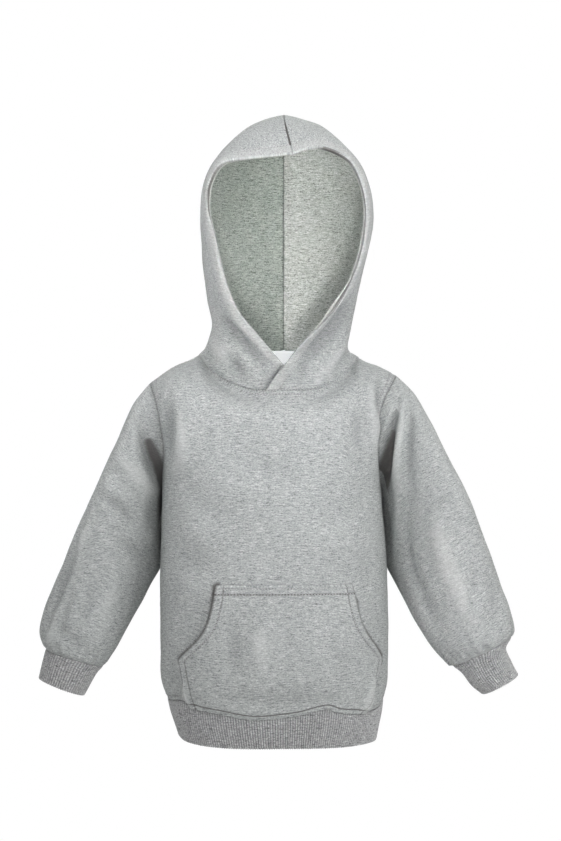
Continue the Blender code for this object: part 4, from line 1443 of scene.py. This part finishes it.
# place, size, watts, spread in degrees, aimed at
lights = {
    "frontLight": ((0.45, -2.7, 0.55), 0.9, 0.62, 45),
    "highLight": ((0.38, -1.40, 0.72), 0.8, 0.43, 52),
    "hoodLight": ((0.08, -2.5, -0.35), 0.4, 0.23, 10, (0.01, 0, 0.17)),
    "sleeveLight": ((-0.75, -2.4, 0.0), 0.3, 0.085, 8, (0.24, 0, -0.22)),
    "armpitLight": ((-0.85, -1.9, 0.75), 0.4, 0.075, 9, (-0.12, -0.03, -0.11)),
    "hoodSideLight": ((-2.1, -0.75, 0.35), 0.3, 0.05, 6, (-0.085, -0.03, 0.10)),
    "fillLight": ((0.05, -3.0, 0.3), 0.8, 1.0),
    "leftLight": ((-1.9, -1.5, 0.55), 1.2, 5.2),
    "rightLight": ((1.8, -1.5, 0.45), 1.2, 22),
    "topLight": ((0.1, 0.0, 1.7), 1.3, 12),
    "backLight": ((-0.3, 2.8, 0.9), 1.4, 13),
}


def floorFinish():
    tree = Tree("paleFloor")
    where = tree.node("ShaderNodeTexCoord", {}).at("Object")
    grain = tree.node("ShaderNodeTexNoise", {}, Vector=where, Scale=60.0, Detail=2.0)
    tree.color = tree.mix(grain * 0.15, rgb(0.80, 0.80, 0.80), rgb(0.76, 0.76, 0.76))
    away = tree.node("ShaderNodeVectorMath", {"operation": "LENGTH"}, where).at("Value")
    fade = 1 - away.between(studio["floorFade"], studio["floorSize"])
    tree.put(tree.shader.inputs["Alpha"], fade)
    return tree.finish(0.9)


def setFloor():
    half = studio["floorSize"]
    mesh = bpy.data.meshes.new("floor")
    corners = [(-half, -half), (half, -half), (half, half), (-half, half)]
    mesh.from_pydata([(x, y, studio["floor"]) for x, y in corners], [], [(0, 1, 2, 3)])
    mesh.materials.append(floorFinish())
    addObject("floor", mesh)


def softLight(name, place, size, watts, spread=180, aimedAt=(0, 0, 0.03)):
    lamp = bpy.data.lights.new(name, "AREA")
    lamp.shape = "DISK"
    lamp.size = size
    lamp.energy = watts
    lamp.spread = math.radians(spread)
    thing = addObject(name, lamp)
    thing.location = place
    aim = Vector(aimedAt) - Vector(place)
    thing.rotation_euler = aim.to_track_quat("-Z", "Y").to_euler()


setFloor()
for name, settings in lights.items():
    softLight(name, *settings)

world = bpy.data.worlds.new("studioSky")
world.use_nodes = True
sky = world.node_tree.nodes["Background"]
sky.inputs["Color"].default_value = (1, 1, 1, 1)
seen = world.node_tree.nodes.new("ShaderNodeLightPath")
brightness = world.node_tree.nodes.new("ShaderNodeMapRange")
brightness.inputs["To Min"].default_value = studio["sky"]
brightness.inputs["To Max"].default_value = 1.0
world.node_tree.links.new(seen.outputs["Is Camera Ray"], brightness.inputs["Value"])
world.node_tree.links.new(brightness.outputs["Result"], sky.inputs["Strength"])
bpy.context.scene.world = world
bpy.context.scene.view_settings.view_transform = "Standard"

lens = bpy.data.cameras.new("camera")
lens.sensor_fit = "VERTICAL"
lens.sensor_height = studio["sensor"]
lens.lens = studio["sensor"] * studio["distance"] / studio["frameHeight"]
camera = addObject("camera", lens)
camera.location = (studio["middle"], -studio["distance"], studio["height"])
camera.rotation_euler = (math.radians(90), 0, 0)
bpy.context.scene.camera = camera

print("scene ready")
